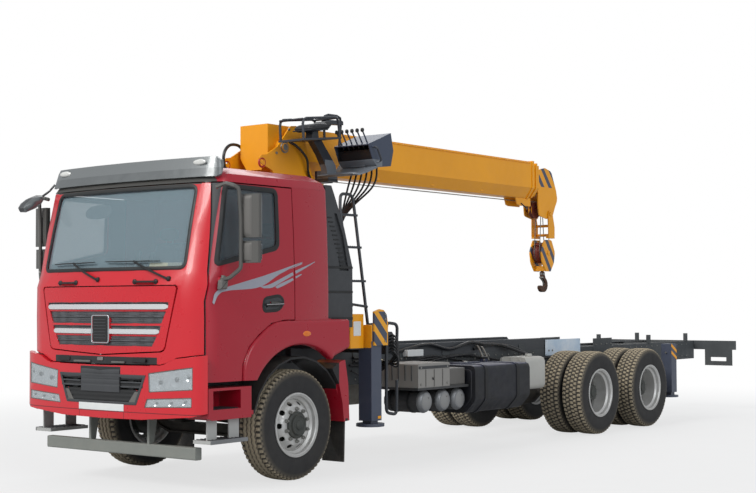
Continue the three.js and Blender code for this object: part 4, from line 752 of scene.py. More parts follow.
# CAD nodes by finish, with their slot and the angle under which a dressed copy shades smooth; with no
# angle the node itself shows.
CAD_FINISHES = (
    ("chassis_paint", "frame_black", None, "chassis_frame tail_lamp_bar"),
    ("cast_iron", "cast_iron", None, "engine front_axle bogie_springs knuckle_left knuckle_right"),
    ("cast_iron", "cast_iron", 35, "rear_axle_1 rear_axle_2"),
    ("cast_iron", "cast_iron", 50, "tie_rod"),
    ("underrun_paint", "frame_black", None, "underrun_bar"),
    ("baked_enamel_red_bumper", "cab_red", 34, "front_bumper"),
    ("baked_enamel_red_wing", "cab_red", 34, "front_wing_left front_wing_right"),
    ("black_enamel_tank", "black_paint", 46, "fuel_tank"),
    ("moulded_plastic_tanks", "dark_plastic", 34, "battery_and_air_tanks"),
    ("powder_grey", "silver_box", 46, "urea_tank"),
    ("aluminised_steel", "silver_box", 46, "exhaust_box"),
    ("slate_enamel", "jack_blue", None, "rear_outrigger_beam"),
    ("slate_enamel", "jack_blue", 34, "rear_jack_left rear_jack_right front_jack_left front_jack_right"),
    ("slate_enamel_striped", "crane_yellow", None, "front_outrigger_left front_outrigger_right"),
    ("two_pack_enamel_yellow_base", "crane_yellow", 34, "crane_base"),
    ("two_pack_enamel_yellow", "crane_yellow", 34, "turret luff_barrel boom_section_1 hook_frame"),
    ("two_pack_enamel_yellow", "crane_yellow", 20, "boom_section_2 boom_section_3"),
    ("two_pack_enamel_yellow_head", "crane_yellow", 34, "boom_section_4"),
    ("two_pack_enamel_yellow_block", "crane_yellow", 34, "hook_block"),
    ("black_enamel_station", "black_paint", 62, "operator_station"),
    ("hard_chrome_rod", "chrome", 34, "luff_rod"),
    ("forged_steel", "hook_iron", 45, "hook"),
    ("moulded_plastic_dark", "dark_plastic", None, "cab_floor"),
    ("moulded_plastic_dark", "dark_plastic", 34, "air_intake"),
    # The rear wall, sides, roof and doors show side-red finishes, darkened by painted shade.
    ("baked_enamel_red_side", "cab_red", 34, "cab_rear_wall"),
    ("baked_enamel_red_side", "cab_red", 38, "cab_side_left cab_side_right"),
    ("baked_enamel_red_roof", "cab_red", 38, "cab_roof"),
    ("baked_enamel_red_front", "cab_red", 38, "cab_front"),
    ("baked_enamel_red_door", "cab_red", 38, "door_left door_right"),
    ("baked_enamel_red", "cab_red", 34, "front_panel"),
    ("flake_paint_grey", "visor_grey", 40, "sun_visor"),
    ("laminated_glass", "glass", 40, "windscreen"),
    ("tempered_glass", "glass", 40, "door_glass_left door_glass_right"),
)


# ---------------------------------------------------------------- wheels


TYRE_HALF_WIDTH, TREAD_REPEATS = 150, 60
TREAD_GROOVES = (-0.52, -0.18, 0.18, 0.52)


def tyre(skin, middle, y, blocks, tread):
    """Road tyre: a section of (across, radius) turned about the axle. The tread radius falls by up to the
    tread's depth in four zigzag grooves, and in notches that repeat 60 times round and step on from row to row."""
    wall = [(0.76, 303), (0.88, 312), (0.95, 345), (0.985, 390), (1.0, 430), (0.985, 470), (0.945, 500), (0.89, 520)]
    across_tread = np.linspace(-0.83, 0.83, 46)
    crown = 542 - 9 * (across_tread / 0.83) ** 4 - 2 * across_tread**2
    left = [(-a, r) for a, r in wall]
    profile = np.array(left + list(zip(across_tread, crown)) + wall[::-1] + [(0.7, 299), (-0.7, 299)])
    worn = np.concatenate([[0.0] * 6, [0.15, 0.5], np.ones(46), [0.5, 0.15], [0.0] * 8])
    profile[:, 0] *= TYRE_HALF_WIDTH

    def ripple(along, angle):
        s = along / TYRE_HALF_WIDTH
        phase = angle * TREAD_REPEATS / (2 * np.pi)
        swing = 0.05 * (4 * np.abs(phase % 1 - 0.5) - 1)
        groove = sum(np.clip(1.5 - np.abs(s - line - swing) / 0.045, 0, 1) for line in TREAD_GROOVES)
        row = np.floor((s + 0.875) / 0.35)
        notch = (np.abs(s) > (0.0 if blocks else 0.56)) * ((phase + 0.4 * row) % 1 < 0.38)
        return -tread * np.maximum(np.clip(groove, 0, 1), notch) * (np.abs(s) < 0.93)

    skin.turn(profile, (middle, y, AXLE_HEIGHT), "x", 300, 0, worn, wrap=True, ripple=ripple)


HAND_HOLES = 10


def rim_disc(skin, side, y, face, r_in, r_out, hole, thick=10):
    """Wheel disc in ten sectors with one oval hand hole each: points run straight from the hole's oval to
    the sector's edge, in (radius, angle), and face(radius) gives how far out they stand."""
    middle, a, b = hole
    turn = 2 * np.pi * np.arange(24) / 24
    c, s = np.cos(turn), np.sin(turn)
    most = np.maximum(np.abs(c), np.abs(s))
    edge_r = middle + c / most * np.where(c > 0, r_out - middle, middle - r_in)
    edge_t = s / most * np.pi / HAND_HOLES
    share = np.array([0, 0.1, 0.3, 0.65, 1])[:, None]
    radius = (middle + a * c) * (1 - share) + edge_r * share
    angle = (b * s / middle) * (1 - share) + edge_t * share
    for k in range(HAND_HOLES):
        spin = angle + 2 * np.pi * k / HAND_HOLES
        near = xyz(side * face(radius), y + radius * np.cos(spin), AXLE_HEIGHT + radius * np.sin(spin))
        far = near - np.array([side * thick, 0, 0])
        skin.grid(near, (False, True), 1)
        skin.grid(far, (False, True), 1)
        skin.grid(np.stack([near[0], far[0]]), (False, True), 1)
        for arc in ([21, 22, 23, 0, 1, 2, 3], [9, 10, 11, 12, 13, 14, 15]):
            skin.grid(np.stack([near[-1][arc], far[-1][arc]]), (False, False), 1)


def rim_barrel(skin, side, y, outer, inner):
    """Rim: flange, bead seat, well and the other flange, as a thin closed section turned about the axle."""
    line = np.array([
        (outer - 12, 316), (outer - 4, 314), (outer - 3, 306), (outer - 14, 300), (outer - 18, 292), (outer - 52, 286),
        (outer - 70, 262), (inner + 70, 262), (inner + 52, 286), (inner + 18, 292), (inner + 14, 300), (inner + 3, 306),
        (inner + 4, 314), (inner + 12, 316),
    ], float)
    back = line[::-1] - (0, 7)
    back[0, 0], back[-1, 0] = inner + 16, outer - 16
    profile = np.concatenate([line, back])
    profile[:, 0] *= side
    skin.turn(profile, (0, y, AXLE_HEIGHT), "x", 72, 1, wrap=True)


def wheel_nuts(skin, side, y, x, circle_radius, count, size):
    """Hexagon nuts with stud ends: a stepped profile turned in six sides, set round a circle."""
    across, height = size
    profile = [(0, 0), (0, across), (height, across), (height + 4, across * 0.8), (height + 4, across * 0.55),
               (height + 16, across * 0.55), (height + 18, across * 0.35), (height + 18, 0)]
    profile = [(side * along, radius) for along, radius in profile]
    for k in range(count):
        angle = 2 * np.pi * (k + 0.5) / count
        middle = (side * x, y + circle_radius * math.cos(angle), AXLE_HEIGHT + circle_radius * math.sin(angle))
        skin.turn(profile, middle, "x", 6, 3)


def hub(skin, side, y, profile, kind=2):
    """A hub's profile of (distance out, radius) turned about the axle."""
    skin.turn([(side * x, r) for x, r in profile], (0, y, AXLE_HEIGHT), "x", 40, kind)


def front_wheel(side, tread):
    """Front wheel: ribbed tyre, rim, dished disc with nuts, hub and drum."""
    skin = Skin()
    outer = 1182
    tyre(skin, side * 1032, 0, False, tread)
    rim_barrel(skin, side, 0, outer, 882)
    radii = [90, 188, 200, 214, 232, 246, 256]
    stand = [outer - back for back in (22, 22, 27, 44, 70, 84, 88)]
    rim_disc(skin, side, 0, lambda r: np.interp(r, radii, stand), 92, 256, (214, 19, 27))
    wheel_nuts(skin, side, 0, outer - 22, 158, 10, (19, 24))
    hub(skin, side, 0, [(outer + out, radius) for out, radius in (
        (-80, 0), (-80, 128), (-12, 134), (-4, 131), (2, 122), (6, 104), (24, 98), (28, 88), (22, 80), (22, 50),
        (30, 46), (35, 36), (37, 0),
    )])
    hub(skin, side, 0, [(outer - 104, 0), (outer - 104, 196), (928, 200), (924, 188), (924, 0)])
    return skin


def rear_wheel(side, y, tread):
    """Twin rear wheel: two block tyres on their rims, the outer disc, hub cover and drum."""
    skin = Skin()
    for inner, outer in ((939, 1239), (602, 902)):
        tyre(skin, side * (inner + outer) / 2, y, True, tread)
        rim_barrel(skin, side, y, outer, inner)
    radii = [98, 186, 200, 230, 248, 256]
    rim_disc(skin, side, y, lambda r: np.interp(r, radii, [957, 957, 953, 940, 933, 931]), 98, 256, (214, 19, 27))
    wheel_nuts(skin, side, y, 957, 158, 10, (19, 22))
    hub(skin, side, y, [
        (930, 0), (930, 112), (962, 112), (975, 104), (1078, 98), (1092, 108), (1104, 108), (1110, 96), (1113, 62),
        (1126, 56), (1130, 40), (1130, 0),
    ])
    wheel_nuts(skin, side, y, 1104, 100, 10, (6, 3))
    hub(skin, side, y, [(652, 0), (652, 206), (876, 210), (876, 0)])
    hub(skin, side, y, [(884, 0), (884, 256), (896, 256), (900, 190), (926, 186), (926, 0)], 1)
    return skin


# ---------------------------------------------------------------- lamps


def lamp_unit(name, side, corners, bowls):
    """Lamp in the bumper: a reflector whose depth drops by 12 mm as 1-(d/r)^2 in each bowl, with a
    clear lens crowned by a sine both ways over it and a rim round its edge."""
    corners = [(side * x, z) for x, z in corners]
    grid, u, v = panel(corners, 41, 91)
    x, z = grid[..., 0], grid[..., 1]
    base = plan_y(x, BUMPER)
    depth = 9 + 0.6 * np.cos(2 * np.pi * x / 13)
    for bowl_x, bowl_z, r in bowls:
        near = np.clip(1 - ((x - side * bowl_x) ** 2 + (z - bowl_z) ** 2) / r**2, 0, 1)
        depth = np.where(near > 0, 8 + 12 * near, depth)
    shell = Skin()
    shell.leaf(xyz(x, base + depth, z), xyz(x, base + 21.4, z))
    for bowl_x, bowl_z, r in bowls:
        at = (side * bowl_x, float(plan_y(side * bowl_x, BUMPER)) + 16, bowl_z)
        bulb = [(4, 0), (4, r * 0.3), (-2, r * 0.3), (-3, r * 0.22), (-9, r * 0.2), (-12, r * 0.1), (-13, 0)]
        shell.turn(bulb, at, "y", 20, 1)
    edge_x, edge_z = resample(corners, 120, closed=True).T
    shell.tube(xyz(edge_x, plan_y(edge_x, BUMPER) + 5, edge_z), 4.5, 8, True, 2)
    fit(name, shell, "chassis", ["plated_reflector", "moulded_plastic_black", "moulded_plastic_grey"])
    lens = Skin()
    front = xyz(x, base + 3 - 4 * np.sin(np.pi * u) * np.sin(np.pi * v), z)
    lens.leaf(front, front + (0, 2.5, 0))
    fit(name + "_lens", lens, "chassis", ["lamp_lens"])


def marker(skin, centre, size, axis, kind=0):
    """Small lamp: an oval dome whose height is the square root of one minus the squares of its sides."""
    across, up, tall = size
    r = np.linspace(1, 0, 7)[:, None]
    t = 2 * np.pi * np.arange(28)[None] / 28
    u, v = across * r * np.cos(t), up * r * np.sin(t)
    height = tall * np.sqrt(np.maximum(1 - r**2, 0)) + 0 * t
    dome = lay(u, v, np.sign(axis[1]) * height, axis[0]) + np.asarray(centre, float)
    base = lay(u[:1], v[:1], 0 * t - np.sign(axis[1]) * 3, axis[0]) + np.asarray(centre, float)
    skin.grid(np.concatenate([base, dome]), (False, True), kind)
    skin.cap(base[0], kind)


def make_lamps():
    """Lamps of the bumper, visor, cab sides, tail bar and frame."""
    for side, hand in SIDES:
        lamp_unit(
            f"headlamp_{hand}", side, [(652, 919), (1146, 953), (1146, 1151), (645, 1088)],
            [(775, 1010, 68), (965, 1040, 76), (1100, 1060, 36)],
        )
        lamp_unit(
            f"fog_lamp_{hand}", side, [(598, 778), (1136, 796), (1136, 878), (626, 852)],
            [(730, 818, 32), (900, 826, 36), (1060, 836, 34)],
        )
        clearance = Skin()
        marker(clearance, (side * 960, float(plan_y(960.0, VISOR)) - 3, 3046), (82, 27, 14), ("y", -1))
        fit(f"clearance_lamp_{hand}", clearance, "cab", ["lens_clear"])
        amber = Skin()
        marker(amber, (side * 1275, 30, 1432), (66, 30, 13), ("x", side))
        fit(f"side_repeater_{hand}", amber, "cab", ["lens_amber"])
        tail = Skin()
        for x, kind in ((660, 0), (770, 1), (880, 0), (990, 2)):
            tail.slab(rect(side * x, side * (x + 100), 985, 1095, 8), "y", 10481, 10496, 5, kind)
        tail.slab(rect(side * 640, side * 1110, 975, 1105), "y", 10479.5, 10483, 1, 3)
        glasses = ["lens_red", "lens_amber", "lens_clear", "moulded_plastic_black"]
        fit(f"tail_lamps_{hand}", tail, "chassis", glasses)
    markers = Skin()
    for side, _ in SIDES:
        for y in (5050, 6650, 8500):
            marker(markers, (side * 431, y, 900), (40, 16, 9), ("x", side))
    fit("frame_markers", markers, "chassis", ["lens_amber"])


# ---------------------------------------------------------------- cab front


def carry_front(skin, x0, x1, z, section, plan, stand, kind=0, count=60):
    """A section carried across the cab's front along a plan curve, standing proud of it."""
    x = np.linspace(x0, x1, count)
    section = np.asarray(section, float)
    taper = np.clip(np.minimum(x - x0, x1 - x) / 40, 0, 1)[:, None] ** 0.5
    y = plan_y(x, plan)[:, None] - stand + section[None, :, 0] * (0.35 + 0.65 * taper)
    height = z + section[None, :, 1] * (0.35 + 0.65 * taper)
    grid = xyz(np.broadcast_to(x[:, None], y.shape), y, np.broadcast_to(height, y.shape))
    skin.grid(grid, (False, True), kind)
    skin.cap(grid[0], kind)
    skin.cap(grid[-1], kind)


def oval(depth, height, count=20):
    """Superellipse section |d|^3 + |h|^3 = 1, scaled to a depth and height."""
    t = 2 * np.pi * np.arange(count) / count
    c, s = np.cos(t), np.sin(t)
    return np.stack([depth / 2 * np.sign(c) * np.abs(c) ** 0.66, height / 2 * np.sign(s) * np.abs(s) ** 0.66], 1)


def front_sheet(skin, corners, rows, columns, plan, raised, thick, kind=0):
    """Thin sheet over a patch of the front: raised(x, z) is how far behind the plan curve its face
    lies, and the back lies a thickness further in."""
    grid, _, _ = panel(corners, rows, columns)
    x, z = grid[..., 0], grid[..., 1]
    y = plan_y(x, plan) + raised(x, z)
    skin.leaf(xyz(x, y, z), xyz(x, y + thick, z), kind=kind)


def make_lid_grille():
    """Two mesh panels edged with tubes, two bright bars and two oval ones across the lid."""
    lid = Skin()
    for top, top_z, low, low_z in ((866, 1744, 774, 1551), (776, 1524, 664, 1341)):
        corners = [(-low, low_z), (low, low_z), (top, top_z), (-top, top_z)]
        front_sheet(lid, corners, 12, 70, LID, lambda x, z: 14, 3.6)
        for half, z in ((low, low_z), (top, top_z)):
            x = np.linspace(-half, half, 70)
            lid.tube(xyz(x, plan_y(x, LID) + 5, z), 5, 8, kind=1)
    for z, tall, half in ((1703, 25, 850), (1472, 24, 748)):
        face = [(-5, -tall), (-9, 3 - tall), (-10, 0), (-9, tall - 3), (-5, tall), (12, tall), (12, -tall)]
        carry_front(lid, -half, half, z, face, LID, 0, 2, 80)
    for z, half in ((1612, 800), (1388, 700)):
        carry_front(lid, -half, half, z, oval(12, 16), LID, -6, 0, 80)
    fit("lid_grille", lid, "front_panel", ["grille_mesh", "moulded_plastic_dark", "bright_trim"])


def make_badge():
    """Bare badge plate with a bright rim and seven plain ribs."""
    badge = Skin()
    badge.slab(rect(-104, 104, 1376, 1612, 14), "y", -1489, -1480.2, 3)
    ring = resample(rounded(rect(-118, 118, 1366, 1622, 22), 8), 96, closed=True)
    badge.tube(xyz(ring[:, 0], -1484.0, ring[:, 1]), 8, 10, True, 1)
    for k in range(7):
        badge.tube(xyz(np.linspace(-86, 86, 5), -1489.5, 1408 + 29 * k), 4, 8, kind=2)
    looks = ["moulded_plastic_black", "chromium_plate", "moulded_plastic_dark"]
    fit("blank_badge", badge, "front_panel", looks)


def tow_cover(x, z):
    """Cover with ribs 3 mm deep every 46 mm, laid back by 10 mm at its top."""
    rib = 3.0 * (np.abs(((z - 905) / 46) % 1 - 0.5) < 0.16) * (z > 940) * (z < 1110)
    return -1 + rib + 10 * np.clip((z - 1100) / 40, 0, 1)


def make_bumper_grille():
    """Grille frame, slats, ribbed tow cover, waved lower sheet and its two end plates."""
    low = Skin()
    corners = [(-492, 792, 12), (492, 792, 12), (612, 1072, 12), (-612, 1072, 12)]
    frame_strip(low, corners, 26, 0, on_plan(BUMPER), 3, 0, 160)
    for side, _ in SIDES:
        for z, tall in ((1046, 26), (1000, 18), (958, 20)):
            carry_front(low, *span(side, 276, 578), z, oval(30, tall), BUMPER, -14, 0, 30)
    front_sheet(low, rect(-270, 270, 905, 1148), 40, 60, BUMPER, tow_cover, 9)
    front_sheet(
        low, [(-470, 800), (470, 800), (520, 925), (-520, 925)], 14, 70, BUMPER,
        lambda x, z: 9 + 2.5 * np.sin(2 * np.pi * z / 42), 6, 1,
    )
    for side, _ in SIDES:
        ends = [(side * 380, 803), (side * 468, 803), (side * 516, 915), (side * 470, 915)]
        front_sheet(low, ends, 8, 10, BUMPER, lambda x, z: 4, 4, 2)
    looks = ["moulded_plastic_dark", "moulded_plastic_black", "moulded_plastic_grey"]
    fit("bumper_grille", low, "chassis", looks)


def make_number_plate():
    """Blank plate with its rim pressed 1.2 mm back."""
    plate = Skin()
    grid, u, v = panel(rect(-300, 330, 730, 796), 8, 40)
    x, z = grid[..., 0], grid[..., 1]
    rim = np.minimum(np.minimum(u, 1 - u) * 10, np.minimum(v, 1 - v)) < 0.09
    plate.leaf(xyz(x, plan_y(x, BUMPER) - 3 + 1.2 * rim, z), xyz(x, plan_y(x, BUMPER) + 3, z))
    fit("blank_number_plate", plate, "chassis", ["plate_white"])


def make_radiator_front():
    """What shows in the gap under the lid: hinge blocks, a black backing plate that stands for the radiator's face and
    the painted shade behind the gap, and two hoses.
    """
    gap = Skin()
    for x0, x1, z0, z1, y, kind in (
        (-640, -470, 1186, 1226, -1462, 0), (420, 600, 1186, 1226, -1466, 0), (-390, -150, 1176, 1196, -1482, 1),
        (150, 330, 1176, 1194, -1482, 1), (-50, 30, 1196, 1230, -1480, 2),
    ):
        gap.slab(rect(x0, x1, z0, z1, 12), "y", y, y + 14, 3, kind)
    # The black backing plate is partly the radiator's dark face and partly painted shade: a dark sheet that closes the
    # view through the gap.
    gap.slab(rect(-640, 640, 850, 1160, 20), "y", -1392, -1384, 2)
    for z in (880, 700):
        gap.tube(flow([(-520, -1330, z), (-200, -1316, z - 14), (200, -1330, z), (520, -1318, z - 10)], 30), 12, 8)
    fit("radiator_front", gap, "chassis", ["moulded_plastic_black", "moulded_plastic_grey", "zinc_steel"])


def make_grille():
    """Lid grille, badge, bumper grille, number plate and the radiator's front."""
    make_lid_grille()
    make_badge()
    make_bumper_grille()
    make_number_plate()
    make_radiator_front()


def make_gaskets():
    """Rubber round the windscreen and the door windows."""
    gasket = Skin()
    screen = [(-1002, 2046, 80), (1002, 2046, 80), (985, 2835, 80), (-985, 2835, 80)]
    frame_strip(gasket, screen, 30, -4, on_front, 7, 0, 220)
    fit("windscreen_gasket", gasket, "cab", ["moulded_plastic_black"])
    window = [(-1035, 2822, 40), (-350, 2812, 60), (-350, 2262, 60), (-1172, 2091, 40)]
    for side, hand in SIDES:
        seal = Skin()
        frame_strip(seal, window, 24, -22, on_side(side), 6, 0, 180)
        fit(f"door_window_gasket_{hand}", seal, f"door_{hand}", ["moulded_plastic_black"])


def make_wiper(name, pivot, elbow, blade, slope):
    """Wiper: a boss, an arm that bows out by 18 sin(pi s) mm from pivot to elbow, the blade and its yokes."""
    skin = Skin()
    pivot_x, pivot_z = pivot
    skin.turn([(6, 24), (-14, 22), (-24, 12), (-26, 0)], on_front(float(pivot_x), float(pivot_z), 0), "y", 20)
    share = np.linspace(0, 1, 20)
    x, z = pivot_x + (elbow[0] - pivot_x) * share, pivot_z + (elbow[1] - pivot_z) * share
    arm = on_front(x, z, 24 + 18 * np.sin(np.pi * share))
    skin.carry([(-11, -4), (11, -4), (8, 5), (-8, 5)], arm, lean=(0, -1, 0))
    x = np.linspace(*blade, 40)
    rubber = on_front(x, elbow[1] + (x - elbow[0]) * slope, 13)
    skin.carry([(-3, -9), (3, -9), (5, 2), (2, 8), (-2, 8), (-5, 2)], rubber, kind=1, lean=(0, -1, 0))
    middle = (blade[0] + blade[1]) / 2
    for reach in (-0.33, 0.33):
        x = np.linspace(middle, middle + reach * (blade[1] - blade[0]), 8)
        skin.tube(on_front(x, elbow[1], 22 - 6 * np.linspace(0, 1, 8)), 5, 8)
    fit(name, skin, "cab", ["moulded_plastic_black", "rubber_hose"])


GRIP_HEIGHT = 1935.0


def make_front_grips():
    """Grab handles under the screen: an oval bar lifted by 30 mm within 40 mm of its ends."""
    grips = Skin()
    for x0, x1 in ((-665, -383), (429, 705)):
        x = np.linspace(x0, x1, 24)
        lift = 30 * np.clip(np.minimum(x - x0, x1 - x) / 40, 0, 1) ** 0.5
        grips.carry(oval(26, 20, 12), on_front(x, GRIP_HEIGHT, lift))
        for foot in (x0 + 10, x1 - 10):
            grips.turn([(2, 26), (-8, 24), (-14, 14), (-15, 0)], on_front(float(foot), GRIP_HEIGHT, 0), "y", 16)
    fit("front_grab_handles", grips, "cab", ["moulded_plastic_black"])


def make_inside_glass():
    """Inner mirror, slip on the dash and camera foot behind the screen: plates set back from the glass,
    their corners drawn in as u sqrt(1 - 0.42 v^2)."""
    inner = Skin()
    for x0, x1, z0, z1, off, kind in (
        (-560, -150, 2560, 2700, -75, 0), (560, 930, 2060, 2110, -22, 1), (240, 300, 1990, 2240, -150, 2),
    ):
        grid, _, _ = panel(rect(x0, x1, z0, z1), 16, 24)
        middle, half = np.array([(x0 + x1) / 2, (z0 + z1) / 2]), np.array([(x1 - x0) / 2, (z1 - z0) / 2])
        unit = (grid - middle) / half
        if kind != 1:
            unit = unit * np.sqrt(1 - 0.42 * unit[..., ::-1] ** 2)
        grid = middle + unit * half
        near = on_front(grid[..., 0], grid[..., 1], off)
        inner.leaf(near, near + (0, 12 if kind != 1 else 1.5, 0), kind=kind)
    fit("inside_the_glass", inner, "cab", ["cab_lining", "decal_cream", "moulded_plastic_black"])


def make_glass_trim():
    """Gaskets, wipers, grab handles and what shows through the screen."""
    make_gaskets()
    make_wiper("wiper_right", (-64, 1962), (-470, 2125), (-800, -150), 0.012)
    make_wiper("wiper_left", (838, 1960), (400, 2128), (20, 705), -0.008)
    make_front_grips()
    make_inside_glass()


# ---------------------------------------------------------------- cab sides


def swoosh(skin, upper, lower, side, ends):
    """Thin decal between two smooth lines of (y, z), laid on the cab's side and cut at two ends in y."""
    share = np.linspace(0, 1, 5)[:, None, None]
    grid = flow(upper, 60) * (1 - share) + flow(lower, 60) * share
    keep = (grid[2, :, 0] > ends[0]) & (grid[2, :, 0] < ends[1])
    if keep.sum() < 3:
        return
    y, z = grid[:, keep, 0], grid[:, keep, 1]
    wall = on_side(side)
    skin.leaf(wall(y, z, 1.1), wall(y, z, -1.0))


SWOOSHES = [
    ([(-1224, 1740), (-1190, 1835), (-1070, 1878), (-544, 1995), (-50, 2122), (0, 2132)],
     [(-1210, 1722), (-1160, 1812), (-1040, 1848), (-620, 1884), (-317, 2016), (-4, 2112)]),
    ([(-620, 1890), (-500, 1905), (-350, 1955), (-120, 2040), (40, 2092), (190, 2142)],
     [(-560, 1872), (-440, 1880), (-330, 1925), (-110, 2012), (44, 2074), (186, 2134)]),
    ([(-400, 1888), (-330, 1918), (-200, 1958), (-100, 1992), (-16, 2018)],
     [(-370, 1872), (-290, 1896), (-180, 1936), (-92, 1974), (-14, 2008)]),
]


def wheel_flare(side, hand):
    """Flare over the front wheel: straight lines from its outer edge to the wheel opening, standing out by
    25 mm within the first tenth, swelling to 36 mm and turned in again at the opening."""
    outer = [
        (-836, 1014), (-828, 1167), (-746, 1324), (-613, 1434), (-446, 1535), (-262, 1564), (-100, 1564), (280, 1565),
        (684, 1567),
    ]
    turn = np.radians(np.linspace(144, 52, 12))
    arch = np.stack([-40 + 768 * np.cos(turn), 560 + 768 * np.sin(turn)], -1)
    inner = np.concatenate([arch, [(474, 1200), (684, 1272)]])
    first, last = (resample(flow(line, 160), 110) for line in (outer, inner))
    u = np.array([0, 0.01, 0.04, 0.08, 0.14, 0.3, 0.6, 0.84, 0.93, 0.98, 1.0])[:, None]
    proud = np.interp(
        u, [0, 0.01, 0.04, 0.08, 0.14, 0.6, 0.84, 0.93, 0.98, 1.0], [-4, 8, 20, 25, 27, 33, 36, 33, 20, -4],
    )
    y, z = (first[None, :, k] * (1 - u) + last[None, :, k] * u for k in (0, 1))
    x = cab_x(np.minimum(y, CAB_REAR), z)
    skin = Skin()
    skin.leaf(xyz(side * (x + proud), y, z), xyz(side * (x - 8), y, z))
    fit(f"wheel_flare_{hand}", skin, "cab", ["baked_enamel_red_side"], angle=50)


def make_stripe(name, body, side, ends):
    """The part between two y values of the silver stripes on the cab's side."""
    decal = Skin()
    for upper, lower in SWOOSHES:
        swoosh(decal, upper, lower, side, ends)
    fit(name, decal, body, ["decal_silver"])


def make_door_handle(side, hand):
    """Handle: a moulded rim, a dish sunk by steps of the inset outline, and a bar that bows out by
    10 sin(pi s) mm with a bright line on it."""
    handle = Skin()
    outline = [
        (-584, 1700, 30), (-560, 1790, 50), (-330, 1822, 60), (-262, 1760, 40), (-290, 1690, 40), (-360, 1648, 40),
        (-560, 1640, 40),
    ]
    wall = on_side(side)
    frame_strip(handle, outline, 30, 0, wall, 5, 0, 120)
    ring = resample(rounded(outline, 8), 60, closed=True)
    dish = np.stack([inset(ring, s) for s in (26, 60, 84)])
    near = wall(dish[..., 0], dish[..., 1], np.array([2.0, 2.6, 2.8])[:, None])
    far = wall(dish[:1, :, 0], dish[:1, :, 1], -4.0)
    handle.grid(np.concatenate([far, near[:1]]), (False, True), 1)
    handle.cap(far[0], 1)
    handle.grid(near, (False, True), 1)
    handle.cap(near[-1], 1)
    y = np.linspace(-545, -300, 30)
    bar = wall(y, 1716 + 0.03 * (y + 545), 18 + 10 * np.sin(np.pi * np.linspace(0, 1, 30)))
    handle.carry(oval(14, 26, 14), bar)
    handle.carry(oval(5, 7, 10), bar + (side * 7.5, 0, 3), kind=2)
    looks = ["moulded_plastic_black", "moulded_plastic_dark", "chromium_plate"]
    fit(f"door_handle_{hand}", handle, f"door_{hand}", looks)


def make_mirrors(side, hand):
    """Mirror shells swelled by 16 (sin(pi u) sin(pi v))^0.25 mm, their foot and neck, and the glasses."""
    mirror = Skin()
    for z0, z1, y0 in ((2345, 2715, -1052), (2115, 2285, -1050)):
        grid, u, v = panel(rect(1400, 1520, z0, z1), 24, 12)
        swell = 16 * (np.clip(np.sin(np.pi * u), 0, 1) * np.clip(np.sin(np.pi * v), 0, 1)) ** 0.25
        x, z = grid[..., 0], grid[..., 1]
        slant = 0.17 * (x - 1400)
        mirror.leaf(xyz(side * x, y0 + 18 + slant - swell, z), xyz(side * x, y0 + 30 + slant, z))
    foot = [(-1190, 1855, 16), (-1090, 1862, 16), (-1080, 1955, 16), (-1180, 1948, 16)]
    mirror.slab(foot, "x", *span(side, 1245, 1302), 14, 0)
    mirror.tube([(side * 1275, -1135, 1945), (side * 1278, -1128, 1985)], 22, 12)
    fit(f"mirror_shells_{hand}", mirror, f"door_{hand}", ["moulded_plastic_grey"])

    def lean(p):
        return xyz(side * p[..., 0], p[..., 1] - 966 + 0.115 * (p[..., 0] - 1392), p[..., 2])

    glass = Skin()
    for z0, z1 in ((2350, 2712), (2118, 2284)):
        glass.slab(rect(1392, 1584, z0, z1, 26), "y", -3, 0, 1, bow=lean)
    fit(f"mirror_glass_{hand}", glass, f"door_{hand}", ["chromium_plate"])


def make_step_treads(side, hand):
    """Nine oval bars across each of two entry steps, and the lower step's bright edge."""
    step = Skin()
    for z, x0, x1, y0, y1 in ((768, 985, 1235, -1215, -880), (487, 1020, 1232, -1240, -780)):
        for k in range(9):
            y = y0 + (y1 - y0) * (k + 0.5) / 9
            step.carry(oval(8, 12, 8), [(side * x0, y, z), (side * x1, y, z)])
    step.slab(rect(-1255, -765, 452, 490, 8), "x", *span(side, 1236, 1243), 2, 1)
    fit(f"step_treads_{hand}", step, "chassis", ["moulded_plastic_dark", "satin_metal"])


def make_intake_ribs():
    """Twelve ribs on the air intake's side, and three collars round its box."""
    ribs = Skin()
    for k in range(12):
        z = 2110 + 44 * k
        y = 660 - 0.42 * (z - 2100)
        ribs.carry(oval(10, 14, 8), [(1187, y, z), (1187, y + 96 - 0.06 * (z - 2100), z)])
    for z in (1560, 1830, 2080):
        ribs.slab(rect(950, 1190, 428, 852), "z", z, z + 26, 4)
    fit("intake_ribs", ribs, "cab", ["moulded_plastic_black"])


def make_cab_sides():
    """Flares, stripes, door handles, mirrors and step treads on both sides, and the intake's ribs."""
    for side, hand in SIDES:
        wheel_flare(side, hand)
        make_stripe(f"door_stripe_{hand}", f"door_{hand}", side, (-1240, -134))
        make_stripe(f"side_stripe_{hand}", "cab", side, (-106, 260))
        make_door_handle(side, hand)
        make_mirrors(side, hand)
        make_step_treads(side, hand)
    make_intake_ribs()


# ---------------------------------------------------------------- soft goods

SEAT_X = 720


def cushion(centre, size, lean=0.0, rows=28, columns=28, waist=0.0):
    """Crowned closed pad: a superellipsoid |x|^4 + |y|^4 + |z|^2.5 = 1 scaled to its size, leant about
    the x axis and set at its centre; waist pulls its sides in between the corners."""
    v = np.linspace(-np.pi / 2, np.pi / 2, rows)[:, None]
    u = 2 * np.pi * np.arange(columns * 2)[None] / (columns * 2)

    def power(value, e):
        return np.sign(value) * np.abs(value) ** e

    x = power(np.cos(v), 0.5) * power(np.cos(u), 0.42)
    y = power(np.cos(v), 0.5) * power(np.sin(u), 0.42)
    z = power(np.sin(v), 0.72) + 0 * u
    x, y = x * (1 - waist * (1 - y**2)), y * (1 - waist * (1 - x**2))
    p = xyz(x * size[0] / 2, y * size[1] / 2, z * size[2] / 2)
    c, s = math.cos(lean), math.sin(lean)
    p = xyz(p[..., 0], c * p[..., 1] - s * p[..., 2], s * p[..., 1] + c * p[..., 2])
    return p + np.asarray(centre, float)


